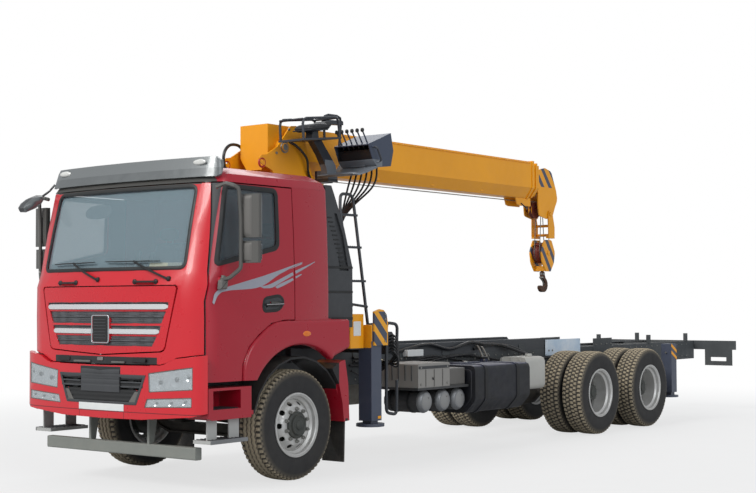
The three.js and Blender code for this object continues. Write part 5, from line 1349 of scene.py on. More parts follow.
PRESSURE, CLOTH_FRAMES, FINE_ENOUGH = 4.0, 20, 5000


def spots(mesh):
    """A mesh's points as rows."""
    out = np.zeros(len(mesh.vertices) * 3, np.float32)
    mesh.vertices.foreach_get("co", out)
    return out.reshape(-1, 3)


def blow_up(obj, voxel, cap):
    """Remeshes a closed form and blows it up as cloth under pressure; no point moves by more than cap mm."""
    remesh = obj.modifiers.new("remesh", "REMESH")
    remesh.mode, remesh.voxel_size = "VOXEL", voxel
    apply_modifiers(obj)
    before = spots(obj.data)
    cloth = obj.modifiers.new("cloth", "CLOTH")
    cloth.settings.use_pressure = True
    cloth.settings.uniform_pressure_force = PRESSURE
    cloth.settings.effector_weights.gravity = 0.0
    cloth.settings.quality = 4
    cloth.point_cache.frame_start, cloth.point_cache.frame_end = 1, CLOTH_FRAMES
    for step in range(1, CLOTH_FRAMES + 1):
        bpy.context.scene.frame_set(step)
    apply_modifiers(obj)
    move = spots(obj.data) - before
    length = np.maximum(np.linalg.norm(move, axis=1, keepdims=True), 1e-9)
    obj.data.vertices.foreach_set("co", (before + move * np.minimum(1, cap / 1000 / length)).ravel())
    obj.data.update()
    bpy.context.scene.frame_set(1)


def pad(name, shapes, body, finish_name, voxel, cap):
    """Padded piece: closed forms joined, blown up by cloth pressure, and divided once where coarse."""
    skin = Skin()
    for shape in shapes:
        skin.grid(shape, (False, True))
    obj = show(name, skin.mesh(name, 60), ())
    bpy.context.view_layer.objects.active = obj
    blow_up(obj, voxel, cap)
    if len(obj.data.polygons) <= FINE_ENOUGH:
        smooth = obj.modifiers.new("smooth", "SUBSURF")
        smooth.levels = smooth.render_levels = 1
        apply_modifiers(obj)
    soften(obj.data, 80)
    obj.data.materials.clear()
    obj.data.materials.append(FINISHES[finish_name])
    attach(obj, body)


def apply_modifiers(obj):
    """Bakes an object's modifiers into its mesh."""
    graph = bpy.context.evaluated_depsgraph_get()
    baked = bpy.data.meshes.new_from_object(obj.evaluated_get(graph), depsgraph=graph)
    obj.modifiers.clear()
    obj.data = baked


def make_seats():
    """Frames and pads of the two cab seats, the bunk and the operator's seat."""
    shell = Skin()
    box = [(-470, 1378, 20), (90, 1378, 20), (60, 1560, 30), (60, 1650, 10), (-520, 1650, 30), (-430, 1560, 30)]
    back = [(36, 1700, 20), (124, 1690, 20), (156, 2380, 20), (96, 2380, 20)]
    for side, _ in SIDES:
        x = side * SEAT_X
        shell.slab(box, "x", x - 150, x + 150, 10)
        shell.slab(back, "x", x - 215, x + 215, 14)
        for dx in (-50, 50):
            shell.tube([(x + dx, 92, 2350), (x + dx, 92, 2420)], 7, 8, kind=1)
        for dx in (-262, 262):
            arm = [(x + dx, 40, 1650), (x + dx, 60, 1900), (x + dx, 20, 2000, 40), (x + dx, -290, 1990)]
            shell.tube(bent(arm), 16, 10)
    shell.slab(rect(82, 338, 1606, 1790), "x", -1098, 1098, 6)
    fit("seat_frames", shell, "cab", ["moulded_plastic_dark", "zinc_steel"], ("cab_seats",))
    for side, hand in SIDES:
        x = side * SEAT_X
        pad(f"seat_pad_{hand}", [
            cushion((x, -240, 1722), (470, 610, 125), 0.03, waist=0.04),
            *(cushion((x + dx, -240, 1745), (76, 560, 110), 0.03) for dx in (-205, 205)),
        ], "cab", "seat_cloth", 0.008, 8)
        pad(f"back_pad_{hand}", [
            cushion((x, 50, 2070), (440, 110, 600), -0.06, waist=0.04),
            *(cushion((x + dx, 30, 2040), (80, 110, 500), -0.06) for dx in (-200, 200)),
            cushion((x, 84, 2470), (250, 80, 130), -0.05),
        ], "cab", "seat_cloth", 0.008, 8)
    pad("bunk_pad", [cushion((0, 212, 1846), (2150, 240, 100), 0.0, 20, 44)], "cab", "seat_vinyl", 0.009, 6)
    pad("operator_pad", [
        cushion((525, 985, 3606), (282, 372, 72), 0.17, waist=0.05), cushion((525, 1140, 3646), (262, 80, 62), 0.6),
    ], "turret", "seat_vinyl", 0.005, 7)
    stem = Skin()
    stem.slab([(930, 3486, 6), (1040, 3499, 6), (1030, 3585, 6), (940, 3575, 6)], "x", 475, 575, 4)
    stem.slab([(800, 3562, 10), (1120, 3600, 10), (1122, 3586, 6), (802, 3550, 6)], "x", 410, 640, 3)
    fit("operator_seat_base", stem, "turret", ["black_enamel"], ("operator_seat",))


def make_driver_place():
    """Steering wheel, its rim (r cos t, r sin t) leant by 0.9 rad, with spokes and column, and the dash."""
    skin = Skin()
    middle, tilt = np.array([720.0, -800.0, 1985.0]), 0.9
    lean = Matrix.Rotation(tilt, 3, "X")

    def rim(radius, lift=0.0):
        flat = circle(radius, 72)
        return middle + xyz(flat[:, 0], flat[:, 1], lift) @ np.array(lean).T

    skin.tube(rim(218), 15, 12, True)
    for k in (6, 30, 48, 66):
        skin.tube(np.linspace(rim(52, -22)[k], rim(214)[k], 6), 11, 8)
    skin.tube([middle + (0, 16, -14), middle + (0, -190, -220)], 44, 16)
    skin.turn([(-22, 0), (-22, 60), (16, 66), (26, 50), (30, 0)], middle, "z", 24)
    hood = [(-1060, 1880, 20), (-992, 1900, 20), (-1010, 2016, 24), (-1070, 2030, 24)]
    for x0, x1 in ((560, 880), (-260, 260)):
        skin.slab(hood, "x", x0, x1, 8, 1)
    fit("steering_wheel_and_dash", skin, "cab", ["moulded_plastic_black", "moulded_plastic_dark"])


# ---------------------------------------------------------------- ladder, frame gear


# Bars of the ladder and the guard, each with how much thinner than the main tubes its radius is.
LADDER_BARS = [
    ([(950, 1118, 1640), (770, 1155, 2750, 60), (755, 1180, 2900, 60), (755, 1375, 2900, 60), (770, 1395, 2750, 60),
      (950, 1402, 1470)], 0),
    ([(937, 1118, 1720), (937, 1402, 1690)], 3),
    ([(1000, 1709, 1250), (1100, 1709, 1250, 50), (1100, 1720, 1500, 60), (1100, 1530, 1520, 60), (1100, 1520, 560, 60),
      (1100, 1700, 530, 60), (1100, 1710, 900)], 0),
    ([(948, 1402, 1500), (1100, 1560, 1517)], 3),
]


def make_ladder(radius):
    """Bent tubes of the ladder and the guard, and three treads with nine knobs each."""
    skin = Skin()
    for route, thinner in LADDER_BARS:
        skin.tube(bent(route, 8), radius - thinner, 14)
    for z, x in ((1963, 893), (2326, 836), (2675, 782)):
        skin.slab(rect(x - 30, x + 12, 1090, 1430, 6), "z", z - 12, z + 12, 2)
        for k in range(9):
            skin.turn([(12, 9), (15, 7), (15, 0)], (x - 9, 1120 + 35 * k, z), "z", 8)
    fit("round_tube_ladder", skin, "chassis", ["black_enamel"], ("access_ladder",), 40)


FRAME_HOSES = (
    (15, 90, [(452, 1760, 1120), (458, 2200, 1092), (452, 2700, 1040), (456, 3200, 1062), (458, 3700, 1085),
              (452, 4300, 1050), (456, 4700, 1000)]),
    (13, 90, [(470, 1760, 1080), (474, 2150, 1060), (470, 2620, 1000), (474, 3000, 1010), (472, 3500, 1066),
              (470, 4100, 1078), (474, 4540, 960)]),
    (11, 90, [(452, 1700, 1040), (456, 2300, 1010), (452, 2900, 1060), (470, 3300, 1090), (452, 3900, 1020),
              (456, 4400, 1010)]),
    (10, 90, [(440, 4700, 1000), (452, 5200, 1010), (446, 5700, 985), (452, 6300, 1000), (446, 7000, 980),
              (450, 7600, 990), (446, 8300, 960)]),
    (12, 40, [(474, 1700, 980), (520, 1860, 900), (560, 1960, 880), (600, 2050, 900)]),
    (10, 40, [(900, 2700, 990), (960, 2500, 1000), (1080, 2350, 930), (1142, 2330, 880)]),
    (20, 90, [(446, 2500, 1150), (458, 2850, 1206), (470, 3190, 1232), (470, 3600, 1168), (470, 4035, 1236),
              (470, 4350, 1208), (480, 4715, 1186), (600, 5126, 1063)]),
    (17, 40, [(446, 4150, 1150), (470, 4500, 1196), (480, 4860, 1176), (520, 5080, 1120), (600, 5200, 1040)]),
)


def make_frame_hoses():
    """Hoses of (radius, stations, route) along the frame, their clips and a junction box."""
    hoses = Skin()
    for radius, stations, route in FRAME_HOSES:
        hoses.tube(flow(route, stations), radius, 10)
    hoses.slab(rect(2690, 3000, 1104, 1182, 10), "x", 440, 516, 4, 2)
    for y in (2100, 2600, 3100, 3600, 4200, 5300, 6300, 7300):
        hoses.slab(rect(y - 12, y + 12, 960, 1095, 4), "x", 430.5, 434, 1, 1)
    fit("frame_hoses", hoses, "chassis", ["rubber_hose", "zinc_steel", "plate_white"])


def stud(side, *steps):
    """A bolt head's profile of (distance out, radius) for one side of the truck."""
    return [(side * out, radius) for out, radius in steps]


def make_frame_bolts():
    """Rows of frame bolts, and brackets with two larger bolts each."""
    bolts = Skin()
    for side, _ in SIDES:
        small = stud(side, (0, 0), (0, 11), (7, 10), (9, 7), (9, 0))
        large = stud(side, (0, 0), (0, 14), (11, 13), (13, 8), (13, 0))
        for y in (*range(1820, 5600, 150), *range(8300, 10300, 170)):
            for z in (880, 1060):
                bolts.turn(small, (side * 430, y, z), "x", 6)
        for y in (1840, 2700, 3560, 4420, 5280, 6000):
            bolts.slab(rect(y - 70, y + 70, 1050, 1180, 10), "x", *span(side, 430.6, 440), 2, 1)
            for dy in (-45, 45):
                bolts.turn(large, (side * 440, y + dy, 1080), "x", 6)
    fit("frame_bolts", bolts, "chassis", ["zinc_steel", "chassis_paint"])


def make_tank_ends():
    """Domed ends and straps of the air tanks, and the fittings of the battery boxes."""
    gear = Skin()
    dome = [(1098, 0), (1104, 60), (1100, 100), (1082, 118), (1060, 127.6), (1052, 127.6)]
    for y, z in ((2250, 635), (2600, 633), (2895, 633)):
        gear.turn(dome, (0, y, z), "x", 36)
        for x in (690, 930):
            strap = [(x - 14, 128), (x - 14, 131), (x + 14, 131), (x + 14, 128)]
            gear.turn(strap, (0, y, z), "x", 36, 1, wrap=True)
        gear.turn([(1103, 0), (1103, 9), (1112, 8), (1115, 0)], (0, y + 30, z + 40), "x", 6, 2)
    for x in range(680, 1041, 90):
        gear.tube([(x, 2055, 870), (x, 2052, 1040)], 5, 6, kind=3)
    gear.slab(rect(2070, 2650, 1000, 1030, 8), "x", 1128, 1136, 2, 3)
    for y in (2200, 2360, 2520):
        gear.slab(rect(y - 6, y + 6, 800, 990, 3), "x", 1128, 1134, 2, 4)
    for y in (2110, 2610):
        for z in (830, 1015):
            gear.turn([(1128, 0), (1128, 14), (1136, 12), (1138, 0)], (0, y, z), "x", 8, 2)
    gear.slab(rect(2700, 3000, 800, 978, 12), "x", 1091, 1100, 4, 4)
    gear.slab(rect(1960, 2190, 1040, 1096, 10), "x", 440, 540, 6, 5)
    for y in (1985, 2035, 2085, 2135):
        gear.turn([(540, 0), (540, 14), (556, 13), (560, 0)], (0, y, 1066), "x", 10, 2)
    fit("tank_and_battery_fittings", gear, "chassis", [
        "satin_metal", "moulded_plastic_black", "zinc_steel", "moulded_plastic_dark", "moulded_plastic_grey",
        "decal_cream",
    ])


def make_fuel_tank_gear():
    """Fuel tank: filler cap, two pipes, step plate, sender, end rims and the brackets behind it."""
    tank = Skin()
    tank.turn([(1040, 0), (1040, 56), (1060, 58), (1066, 50), (1068, 0)], (640, 4080, 0), "z", 24)
    for pipe in (
        [(470, 4230, 1184), (540, 4210, 1170, 50), (690, 4120, 1014)],
        [(470, 4150, 1196), (530, 4130, 1182, 50), (680, 4040, 1014)],
    ):
        tank.tube(bent(pipe, 8), 13, 10, kind=1)
    tank.slab(rect(620, 820, 3360, 3760, 30), "z", 1005, 1018, 4, 2)
    tank.turn([(1014, 0), (1014, 40), (1030, 38), (1032, 0)], (720, 3560, 0), "z", 20, 1)
    outline = [(560, 500, 50), (1050, 500, 50), (1166, 628, 50), (1166, 960, 50), (560, 960, 50)]
    for y in (3040, 4222):
        tank.slab(outline, "y", y, y + 18, 8, 2)
    for x in (610, 740, 870):
        tank.carry(oval(14, 10, 8), [(x, 4560, 660), (x, 4553, 1030)], kind=3)
    looks = ["moulded_plastic_black", "zinc_steel", "black_enamel_tank", "powder_grey"]
    fit("fuel_tank_fittings", tank, "chassis", looks)


def make_blank_sign():
    """Blank sign on the frame with its corner screws, and the bracket bolts behind it."""
    sign = Skin()
    sign.slab(rect(5870, 6800, 1012, 1226, 8), "x", 438.6, 442.5, 1)
    for y in (5890, 6780):
        for z in (1030, 1208):
            sign.turn([(442, 0), (442, 6), (445, 5), (446, 0)], (0, y, z), "x", 8, 1)
    for y in (7240, 7400, 7560, 7680):
        sign.turn([(438, 0), (438, 12), (446, 10), (447, 0)], (0, y, 1130), "x", 6, 1)
    fit("blank_sign", sign, "chassis", ["plate_blue", "zinc_steel"])


def make_rear_jack_marks():
    """Two slanted yellow marks and a lever pin on each rear leg."""
    rear = Skin()
    for side, _ in SIDES:
        for z in (1085, 985):
            mark = [(8118, z, 3), (8284, z - 95, 3), (8284, z - 50, 3), (8118, z + 45, 3)]
            rear.slab(mark, "x", *span(side, 1180.4, 1183), 0.8, 0)
        rear.tube([(side * 1100, 8120, 1000), (side * 1100, 8090, 1000)], 12, 8, kind=1)
    fit("rear_jack_marks", rear, "chassis", ["two_pack_enamel_yellow", "zinc_steel"])


def make_frame_gear():
    """Hoses, bolts, tank fittings, the blank sign and the rear legs' marks."""
    make_frame_hoses()
    make_frame_bolts()
    make_tank_ends()
    make_fuel_tank_gear()
    make_blank_sign()
    make_rear_jack_marks()


# ---------------------------------------------------------------- crane fittings


def make_turret_fittings():
    """Hoses and lever knobs of the console, shackles, bolts, pivot caps and the winch's rope, whose
    radius rises by 7 mm in a triangle wave every 13 mm."""
    top = Skin()
    loop = [(560, 3090), (470, 3120), (410, 3230), (420, 3350), (500, 3430), (620, 3440), (700, 3400)]
    top.tube(flow([(-224, y, z) for y, z in loop], 40), 17, 12)
    for k in range(6):
        x = 470 + 70 * k
        top.tube(flow([
            (x, 1680, 3290), (x - 8, 1740, 3200), (x - 40, 1700, 3000), (420 + 12 * k, 1600, 2700),
            (330 + 10 * k, 1520, 2300), (300 + 8 * k, 1470, 1960), (292 + 6 * k, 1440, 1780),
        ], 50), 11, 8)
        knob = [(-22, 0), (-20, 14), (-8, 20), (8, 20), (20, 14), (24, 0)]
        top.turn(knob, (480 + 72 * k, 1452, 3602), "z", 16, 1)
    riser = [(275, 1250, 3080), (300, 1180, 3160), (330, 1120, 3300), (300, 1000, 3420), (262, 900, 3470)]
    top.tube(flow(riser, 40), 14, 10)
    ring = circle(46, 40)
    for side, _ in SIDES:
        top.tube(xyz(side * 259.0, 486 + ring[:, 0], 3212 + ring[:, 1]), 11, 10, True, 2)
        for y, z in ((900, 3600), (1140, 3500), (1010, 2400), (1300, 2600), (1400, 2200), (700, 3330)):
            top.turn(stud(side, (268, 0), (268, 16), (279, 14), (281, 0)), (0, y, z), "x", 6, 3)
        pivot = stud(side, (268, 62), (276, 60), (276, 40), (286, 36), (288, 0), (268, 0))
        top.turn(pivot, (0, 830, 3400), "x", 28, 3)
    coils = [(x, 121 + 7 * (1 - abs(((x / 13) % 1) * 2 - 1))) for x in np.linspace(-146, 146, 140)]
    top.turn([(-148, 100)] + coils + [(148, 100)], (0, 960, 2350), "x", 40, 4)
    looks = ["rubber_hose", "moulded_plastic_black", "primer_red", "zinc_steel", "wire_rope"]
    fit("turret_fittings", top, "turret", looks)


def make_oil_tank_gear():
    """Oil tank: two blank plates, tap, filler caps, the hoses under it and five valve knobs."""
    tank = Skin()
    tank.slab(rect(760, 900, 1390, 1560, 8), "y", 866.5, 869.6, 0.8)
    tank.slab(rect(920, 1040, 1390, 1540, 8), "x", 1140.4, 1142.4, 0.8)
    tank.tube([(1000, 985, 1650), (1000, 985, 1700)], 14, 12, kind=1)
    tank.tube(bent([(930, 985, 1700), (1000, 985, 1712, 20), (1080, 985, 1700)], 5), 8, 8, kind=1)
    tank.turn([(1612, 0), (1612, 52), (1630, 50), (1634, 0)], (860, 985, 0), "z", 24, 1)
    tank.turn([(1616, 0), (1616, 30), (1660, 28), (1664, 0)], (770, 985, 0), "z", 18, 2)
    for k in range(6):
        z = 1200 + 34 * k
        tank.tube(flow([
            (1080, 1600 + 8 * (k % 2), z), (1130, 1620, z + 10), (1150, 1660, z - 60), (1090, 1720, z - 160),
            (900, 1700, 1100 - 20 * k), (620, 1720, 1040),
        ], 40), 10, 8, kind=3)
    for k, kind in enumerate((4, 5, 2, 4, 5)):
        tank.tube([(1005, 1566 + 26 * k, 1420), (1005, 1560 + 26 * k, 1500)], 6, 8, kind=2)
        tank.turn([(1494, 0), (1496, 12), (1512, 13), (1518, 0)], (1005, 1560 + 26 * k, 0), "z", 12, kind)
    fit("tank_and_valve_fittings", tank, "chassis", [
        "plate_white", "zinc_steel", "moulded_plastic_black", "rubber_hose", "lens_red", "two_pack_enamel_yellow",
    ])


def make_ropes(radius):
    """Rope under the boom, one straight length for each section, and the falls between hook frame and
    block: two straight runs and a half circle (r cos t, r sin t) round the block's sheave. Each length
    is a little thicker than the one before, so that they can slide together."""
    rope_end, rope_z = 6030, 3117.0
    for n, (reach, thicker) in enumerate(((4500, 0), (2950, 0.4), (2950, 0.8), (2950, 1.2)), 1):
        rope = Skin()
        rope.tube(xyz(0.0, np.linspace(rope_end - reach, rope_end, 40), rope_z), radius + thicker, 10)
        if n == 4:
            over = [(0, 6030, 3117), (0, 6180, 3122), (0, 6330, 3133), (0, 6500, 3100), (0, 6640, 3050)]
            rope.tube(flow(over, 30), radius + 1.4, 10)
        fit(f"boom_rope_{n}", rope, f"boom_{n}", ["wire_rope"])
    falls = Skin()
    bottom = np.linspace(np.pi, 2 * np.pi, 24)
    for x in (-42.0, 42.0):
        falls.tube(np.concatenate([
            xyz(x, np.linspace(6440, 6397, 10), np.linspace(2990, 2430, 10)),
            xyz(x, 6530 + 134 * np.cos(bottom), 2420 + 134 * np.sin(bottom)),
            xyz(x, np.linspace(6663, 6620, 10), np.linspace(2430, 2990, 10)),
        ]), radius + 1, 10)
    obj = show("hoist_falls", falls.mesh("hoist_falls"), ["wire_rope"])
    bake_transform(obj)


def make_boom_fittings():
    """Wear-pad covers and a pipe on both sides of the boom, and a hose at its end."""
    boom = Skin()
    for side, _ in SIDES:
        for y in (1500, 2600, 3700, 4800):
            boom.slab(rect(y, y + 60, 3180, 3210, 6), "x", *span(side, 128, 134), 1, 0)
        boom.tube([(side * 208, 1900, 3625), (side * 208, 5900, 3625)], 5, 8, kind=1)
    boom.tube(flow([(150, 5750, 3070), (160, 5850, 3020), (120, 5960, 3010), (60, 6010, 3050)], 24), 9, 8, kind=2)
    looks = ["two_pack_enamel_yellow", "two_pack_enamel_yellow", "rubber_hose"]
    fit("boom_fittings", boom, "boom_1", looks)


def make_hook_latch():
    """Latch plate, its pin and the nut over the hook."""
    latch = Skin()
    latch.slab([(6500, 2075, 6), (6520, 2085, 6), (6590, 1975, 8), (6574, 1962, 8)], "x", -9, 9, 2)
    latch.turn([(-30, 0), (-30, 12), (30, 12), (30, 0)], (0, 6506, 2078), "x", 12)
    latch.turn([(2112, 34), (2118, 36), (2140, 36), (2146, 30), (2112, 28)], (0, 6530, 0), "z", 6)
    fit("hook_latch", latch, "hook", ["zinc_steel"])


def make_leg_marks():
    """Yellow mark near each front leg's foot and three bolts near its top."""
    for (side, hand), y in zip(SIDES, (1220, 1430)):
        legs = Skin()
        legs.slab(rect(y + 20, y + 70, 520, 548, 4), "x", *span(side, 1205.4, 1208), 0.8, 0)
        for z in (1330, 1560, 1610):
            legs.turn(stud(side, (1227, 0), (1227, 12), (1235, 11), (1237, 0)), (0, y + 120, z), "x", 6, 1)
        looks = ["two_pack_enamel_yellow", "zinc_steel"]
        fit(f"leg_marks_{hand}", legs, f"outrigger_{hand}", looks)


def make_crane_fittings(rope_radius):
    """Fittings of the turret, oil tank, boom, hook and front legs, and the ropes of a radius in mm."""
    make_turret_fittings()
    make_oil_tank_gear()
    make_ropes(rope_radius)
    make_boom_fittings()
    make_hook_latch()
    make_leg_marks()


# ---------------------------------------------------------------- stage

CAMERA = {"place": (10.223, -14.771, 1.735), "yaw": 38.03, "pitch": 2.30, "roll": -0.21, "lens": 66.336}
WHITE = (1.0, 1.0, 1.0, 1.0)


def lamp_sun(name, towards, strength, spread, colour=(1.0, 1.0, 1.0)):
    """A distant lamp that shines along a direction, its spread in degrees."""
    light = bpy.data.lights.new(name, "SUN")
    light.energy, light.angle, light.color = strength, math.radians(spread), colour
    obj = bpy.data.objects.new(name, light)
    obj.rotation_euler = Vector(towards).to_track_quat("-Z", "Y").to_euler()
    bpy.context.scene.collection.objects.link(obj)


def set_camera(scene):
    """Camera at its place, turned by yaw and pitch, then rolled about its own line of sight."""
    yaw, pitch, roll = (math.radians(CAMERA[key]) for key in ("yaw", "pitch", "roll"))
    ahead = Vector((-math.sin(yaw) * math.cos(pitch), math.cos(yaw) * math.cos(pitch), math.sin(pitch)))
    right = ahead.cross(Vector((0, 0, 1))).normalized()
    up = right.cross(ahead)
    right, up = right * math.cos(roll) + up * math.sin(roll), up * math.cos(roll) - right * math.sin(roll)
    camera = bpy.data.cameras.new("camera")
    camera.lens, camera.sensor_width, camera.sensor_fit, camera.clip_end = CAMERA["lens"], 36, "HORIZONTAL", 400
    holder = bpy.data.objects.new("camera", camera)
    scene.collection.objects.link(holder)
    turn = Matrix((right, up, -ahead)).transposed().to_4x4()
    holder.matrix_world = Matrix.Translation(CAMERA["place"]) @ turn
    scene.camera = holder
    scene.view_settings.view_transform = "Standard"


def seen_plainly(tree):
    """1 for rays that come from the camera or through glass."""
    path = add(tree, "LightPath")
    direct, through = path.outputs["Is Camera Ray"], path.outputs["Is Transmission Ray"]
    return add(tree, "Math", {0: direct, 1: through}, operation="MAXIMUM").outputs[0]


def set_world(scene, looks):
    """Pale sky light, and a plain white background."""
    world = bpy.data.worlds.new("studio")
    scene.world = world
    world.use_nodes = True
    tree = world.node_tree
    back = tree.nodes["Background"]
    back.inputs[0].default_value = (0.93, 0.96, 1.0, 1.0)
    back.inputs[1].default_value = looks.fill
    white = add(tree, "Background", {0: WHITE, 1: 1.0})
    mix = add(tree, "MixShader", {0: seen_plainly(tree), 1: back.outputs[0], 2: white.outputs[0]})
    tree.links.new(mix.outputs[0], tree.nodes["World Output"].inputs[0])


def set_floor(scene, looks):
    """Round floor of (r cos t, r sin t), its rings widening as the square of their number, in pale paint
    that goes over to plain white away from the truck."""
    mesh = bpy.data.meshes.new("floor")
    r = np.linspace(0, 1, 12)[:, None] ** 2 * 160
    t = 2 * np.pi * np.arange(48)[None] / 48
    grid = xyz(r * np.cos(t), r * np.sin(t), -0.001)
    rows, columns = grid.shape[:2]
    a = np.arange((rows - 1) * columns).reshape(rows - 1, columns)
    b = np.roll(a, -1, 1)
    quads = np.stack([a, a + columns, b + columns, b], -1).reshape(-1, 4)
    mesh.from_pydata(grid.reshape(-1, 3).tolist(), [], quads.tolist())
    floor = bpy.data.objects.new("floor", mesh)
    scene.collection.objects.link(floor)
    material = bpy.data.materials.new("painted_studio_floor")
    material.use_nodes = True
    tree = material.node_tree
    shader = tree.nodes["Principled BSDF"]
    coord = add(tree, "TexCoord").outputs["Object"]
    speckle = add(tree, "TexNoise", {"Vector": coord, "Scale": 3.0, "Detail": 4.0})
    tones = {0: speckle.outputs[0], 6: linear(0xB9BABB), 7: linear(0xB1B2B3)}
    tone = add(tree, "Mix", tones, data_type="RGBA")
    tree.links.new(tone.outputs[2], shader.inputs["Base Color"])
    shader.inputs["Roughness"].default_value = 0.9
    glow = add(tree, "Emission", {0: WHITE, 1: 1.0})
    far = add(tree, "VectorMath", {0: coord}, operation="LENGTH")
    fade = add(
        tree, "MapRange", {0: far.outputs["Value"], 1: 5.0, 2: 13.0, 3: looks.floor_white, 4: 1.0},
        interpolation_type="SMOOTHSTEP",
    )
    share = add(tree, "Math", {0: fade.outputs[0], 1: seen_plainly(tree)}, operation="MULTIPLY")
    mix = add(tree, "MixShader", {0: share.outputs[0], 1: shader.outputs[0], 2: glow.outputs[0]})
    tree.links.new(mix.outputs[0], tree.nodes["Material Output"].inputs[0])
    mesh.materials.append(material)


def set_stage(looks):
    """Camera, white background, three soft lamps and the floor."""
    scene = bpy.context.scene
    set_camera(scene)
    set_world(scene, looks)
    lamp_sun("key", (0.12, 0.8, -0.6), looks.key, 24, (1.0, 0.985, 0.96))
    lamp_sun("side_fill", (-0.9, 0.25, -0.45), looks.side, 40, (0.95, 0.97, 1.0))
    lamp_sun("back_fill", (0.55, -0.7, -0.7), looks.side * 0.7, 40)
    set_floor(scene, looks)


# ---------------------------------------------------------------- add-on


class CraneLooks(bpy.types.PropertyGroup):
    """Sizes, colours and light levels that a user would change."""

    tread: bpy.props.FloatProperty(
        name="Tread depth", description="Depth of the grooves in the tyres", unit="LENGTH", default=0.014, min=0.002,
        max=0.02,
    )
    rope: bpy.props.FloatProperty(
        name="Rope", description="Diameter of the hoist rope", unit="LENGTH", default=0.01, min=0.004, max=0.02,
    )
    ladder_tube: bpy.props.FloatProperty(
        name="Ladder tube", description="Diameter of the ladder's main tubes", unit="LENGTH", default=0.034,
        min=0.02, max=0.05,
    )
    cab_red: bpy.props.FloatVectorProperty(
        name="Cab red", description="Colour of the cab's baked enamel", subtype="COLOR", size=3, min=0, max=1,
        default=linear(0xC81E2A)[:3],
    )
    # Side red is the same enamel as the front, darker as painted shade on the sides and roof.
    shaded_side_red: bpy.props.FloatVectorProperty(
        name="Side red", description="Colour of the cab's sides and roof, a batch deeper than the front",
        subtype="COLOR",
        size=3, min=0, max=1, default=linear(0xA61028)[:3],
    )
    crane_yellow: bpy.props.FloatVectorProperty(
        name="Crane yellow", description="Colour of the crane's two-pack enamel", subtype="COLOR", size=3, min=0, max=1,
        default=linear(0xF2A40C)[:3],
    )
    leg_slate: bpy.props.FloatVectorProperty(
        name="Leg slate", description="Colour of the stabiliser legs", subtype="COLOR", size=3, min=0, max=1,
        default=linear(0x454C5C)[:3],
    )
    key: bpy.props.FloatProperty(name="Key", description="Strength of the front lamp", default=2.15, min=0)
    side: bpy.props.FloatProperty(name="Side fill", description="Strength of the side lamps", default=0.85, min=0)
    fill: bpy.props.FloatProperty(
        name="Sky fill", description="Strength of the light from all round", default=0.5, min=0,
    )
    floor_white: bpy.props.FloatProperty(
        name="Floor glow", description="Share of plain white in the floor near the crane", subtype="FACTOR",
        default=0.7,
        min=0, max=1,
    )


def paint_nodes(looks):
    """Makes the finishes; flat CAD nodes take theirs as they are, round ones show as a dressed copy."""
    make_finishes(looks)
    for finish_name, slot, angle, nodes in CAD_FINISHES:
        for node in nodes.split():
            if angle is None:
                NODES[node].material_slots[0].material = FINISHES[finish_name]
            else:
                dress(node, finish_name, angle)


def make_wheels(tread):
    """Front wheels, and the twin wheels of both drive axles, for a tread depth in mm."""
    look = ["tyre_rubber", "wheel_silver", "hub_black", "zinc_steel"]
    for side, hand in SIDES:
        body = f"wheel_front_{hand}"
        fit(f"front_tyre_and_rim_{hand}", front_wheel(side, tread), body, look, (body,))
        for n, y in enumerate(DRIVE_AXLES, 1):
            body = f"wheel_rear_{n}_{hand}"
            fit(f"twin_tyres_and_rims_{n}_{hand}", rear_wheel(side, y, tread), body, look, (body,))


class CRANE_OT_finishes(bpy.types.Operator):
    """Every finish, put on the CAD nodes."""

    bl_idname = "crane.finishes"
    bl_label = "Paint and finishes"

    def execute(self, context):
        paint_nodes(context.scene.crane_looks)
        return {"FINISHED"}


class CRANE_OT_wheels(bpy.types.Operator):
    """Tyres, rims with hand holes, hubs and nuts."""

    bl_idname = "crane.wheels"
    bl_label = "Wheels"

    def execute(self, context):
        make_wheels(1000 * context.scene.crane_looks.tread)
        return {"FINISHED"}


class CRANE_OT_lamps(bpy.types.Operator):
    """Headlamps, lower lamps, markers and tail lamps."""

    bl_idname = "crane.lamps"
    bl_label = "Lamps"

    def execute(self, context):
        make_lamps()
        return {"FINISHED"}


class CRANE_OT_grille(bpy.types.Operator):
    """Lid grille, blank badge, bumper grille and blank number plate."""

    bl_idname = "crane.grille"
    bl_label = "Grilles"

    def execute(self, context):
        make_grille()
        return {"FINISHED"}


class CRANE_OT_glass_trim(bpy.types.Operator):
    """Gaskets, wipers, front grab handles and what shows through the glass."""

    bl_idname = "crane.glass_trim"
    bl_label = "Glass trim"

    def execute(self, context):
        make_glass_trim()
        return {"FINISHED"}


class CRANE_OT_cab_sides(bpy.types.Operator):
    """Side stripes, door handles, mirror shells and step treads."""

    bl_idname = "crane.cab_sides"
    bl_label = "Cab sides"

    def execute(self, context):
        make_cab_sides()
        return {"FINISHED"}


class CRANE_OT_driver_place(bpy.types.Operator):
    """Steering wheel and instrument hood."""

    bl_idname = "crane.driver_place"
    bl_label = "Driver's place"

    def execute(self, context):
        make_driver_place()
        return {"FINISHED"}


class CRANE_OT_ladder(bpy.types.Operator):
    """Round-tube ladder and tube guard."""

    bl_idname = "crane.ladder"
    bl_label = "Ladder"

    def execute(self, context):
        make_ladder(500 * context.scene.crane_looks.ladder_tube)
        return {"FINISHED"}


class CRANE_OT_frame_gear(bpy.types.Operator):
    """Hoses, bolts, tank and battery fittings and the blank sign."""

    bl_idname = "crane.frame_gear"
    bl_label = "Frame gear"

    def execute(self, context):
        make_frame_gear()
        return {"FINISHED"}


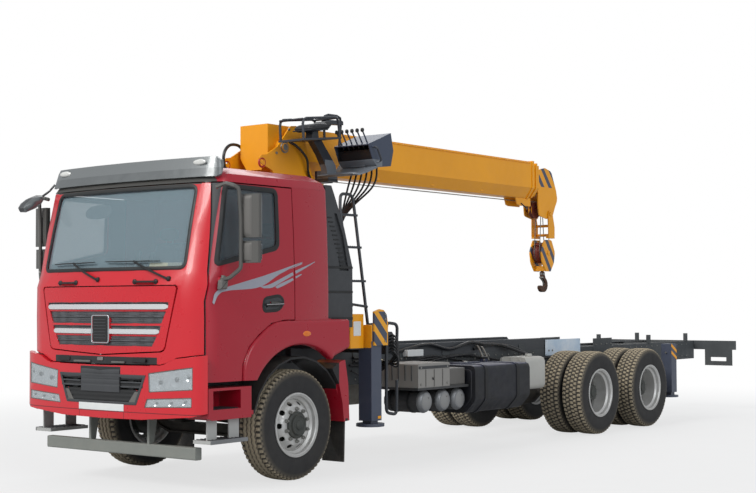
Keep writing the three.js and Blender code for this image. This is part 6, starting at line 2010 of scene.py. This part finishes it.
class CRANE_OT_crane_fittings(bpy.types.Operator):
    """Hoses, levers, shackles, rope, hook latch and leg marks."""

    bl_idname = "crane.crane_fittings"
    bl_label = "Crane fittings"

    def execute(self, context):
        make_crane_fittings(500 * context.scene.crane_looks.rope)
        return {"FINISHED"}


class CRANE_OT_seats(bpy.types.Operator):
    """Cloth and vinyl pads with their frames."""

    bl_idname = "crane.seats"
    bl_label = "Seats"

    def execute(self, context):
        make_seats()
        return {"FINISHED"}


class CRANE_OT_stage(bpy.types.Operator):
    """Camera, lamps, floor and background."""

    bl_idname = "crane.stage"
    bl_label = "Stage"

    def execute(self, context):
        set_stage(context.scene.crane_looks)
        return {"FINISHED"}


OPERATORS = (
    CRANE_OT_finishes,
    CRANE_OT_wheels,
    CRANE_OT_lamps,
    CRANE_OT_grille,
    CRANE_OT_glass_trim,
    CRANE_OT_cab_sides,
    CRANE_OT_driver_place,
    CRANE_OT_ladder,
    CRANE_OT_frame_gear,
    CRANE_OT_crane_fittings,
    CRANE_OT_seats,
    CRANE_OT_stage,
)


class CRANE_PT_looks(bpy.types.Panel):
    """Lists the pieces and the sizes and colours that can be changed."""

    bl_idname = "CRANE_PT_looks"
    bl_label = "Truck crane"
    bl_space_type = "VIEW_3D"
    bl_region_type = "UI"
    bl_category = "Crane"

    def draw(self, context):
        looks = context.scene.crane_looks
        for key in CraneLooks.__annotations__:
            self.layout.prop(looks, key)
        for cls in OPERATORS:
            self.layout.operator(cls.bl_idname)


CLASSES = (CraneLooks, *OPERATORS, CRANE_PT_looks)


def register():
    """Registers the classes and the settings."""
    for cls in CLASSES:
        bpy.utils.register_class(cls)
    bpy.types.Scene.crane_looks = bpy.props.PointerProperty(type=CraneLooks)


def unregister():
    """Takes the settings and the classes away again."""
    del bpy.types.Scene.crane_looks
    for cls in reversed(CLASSES):
        bpy.utils.unregister_class(cls)


def main():
    """Builds every piece."""
    register()
    for cls in OPERATORS:
        group, call = cls.bl_idname.split(".")
        if getattr(getattr(bpy.ops, group), call)() != {"FINISHED"}:
            raise RuntimeError(f"{cls.bl_idname} did not finish")
    bpy.context.view_layer.update()


if __name__ == "__main__":
    main()
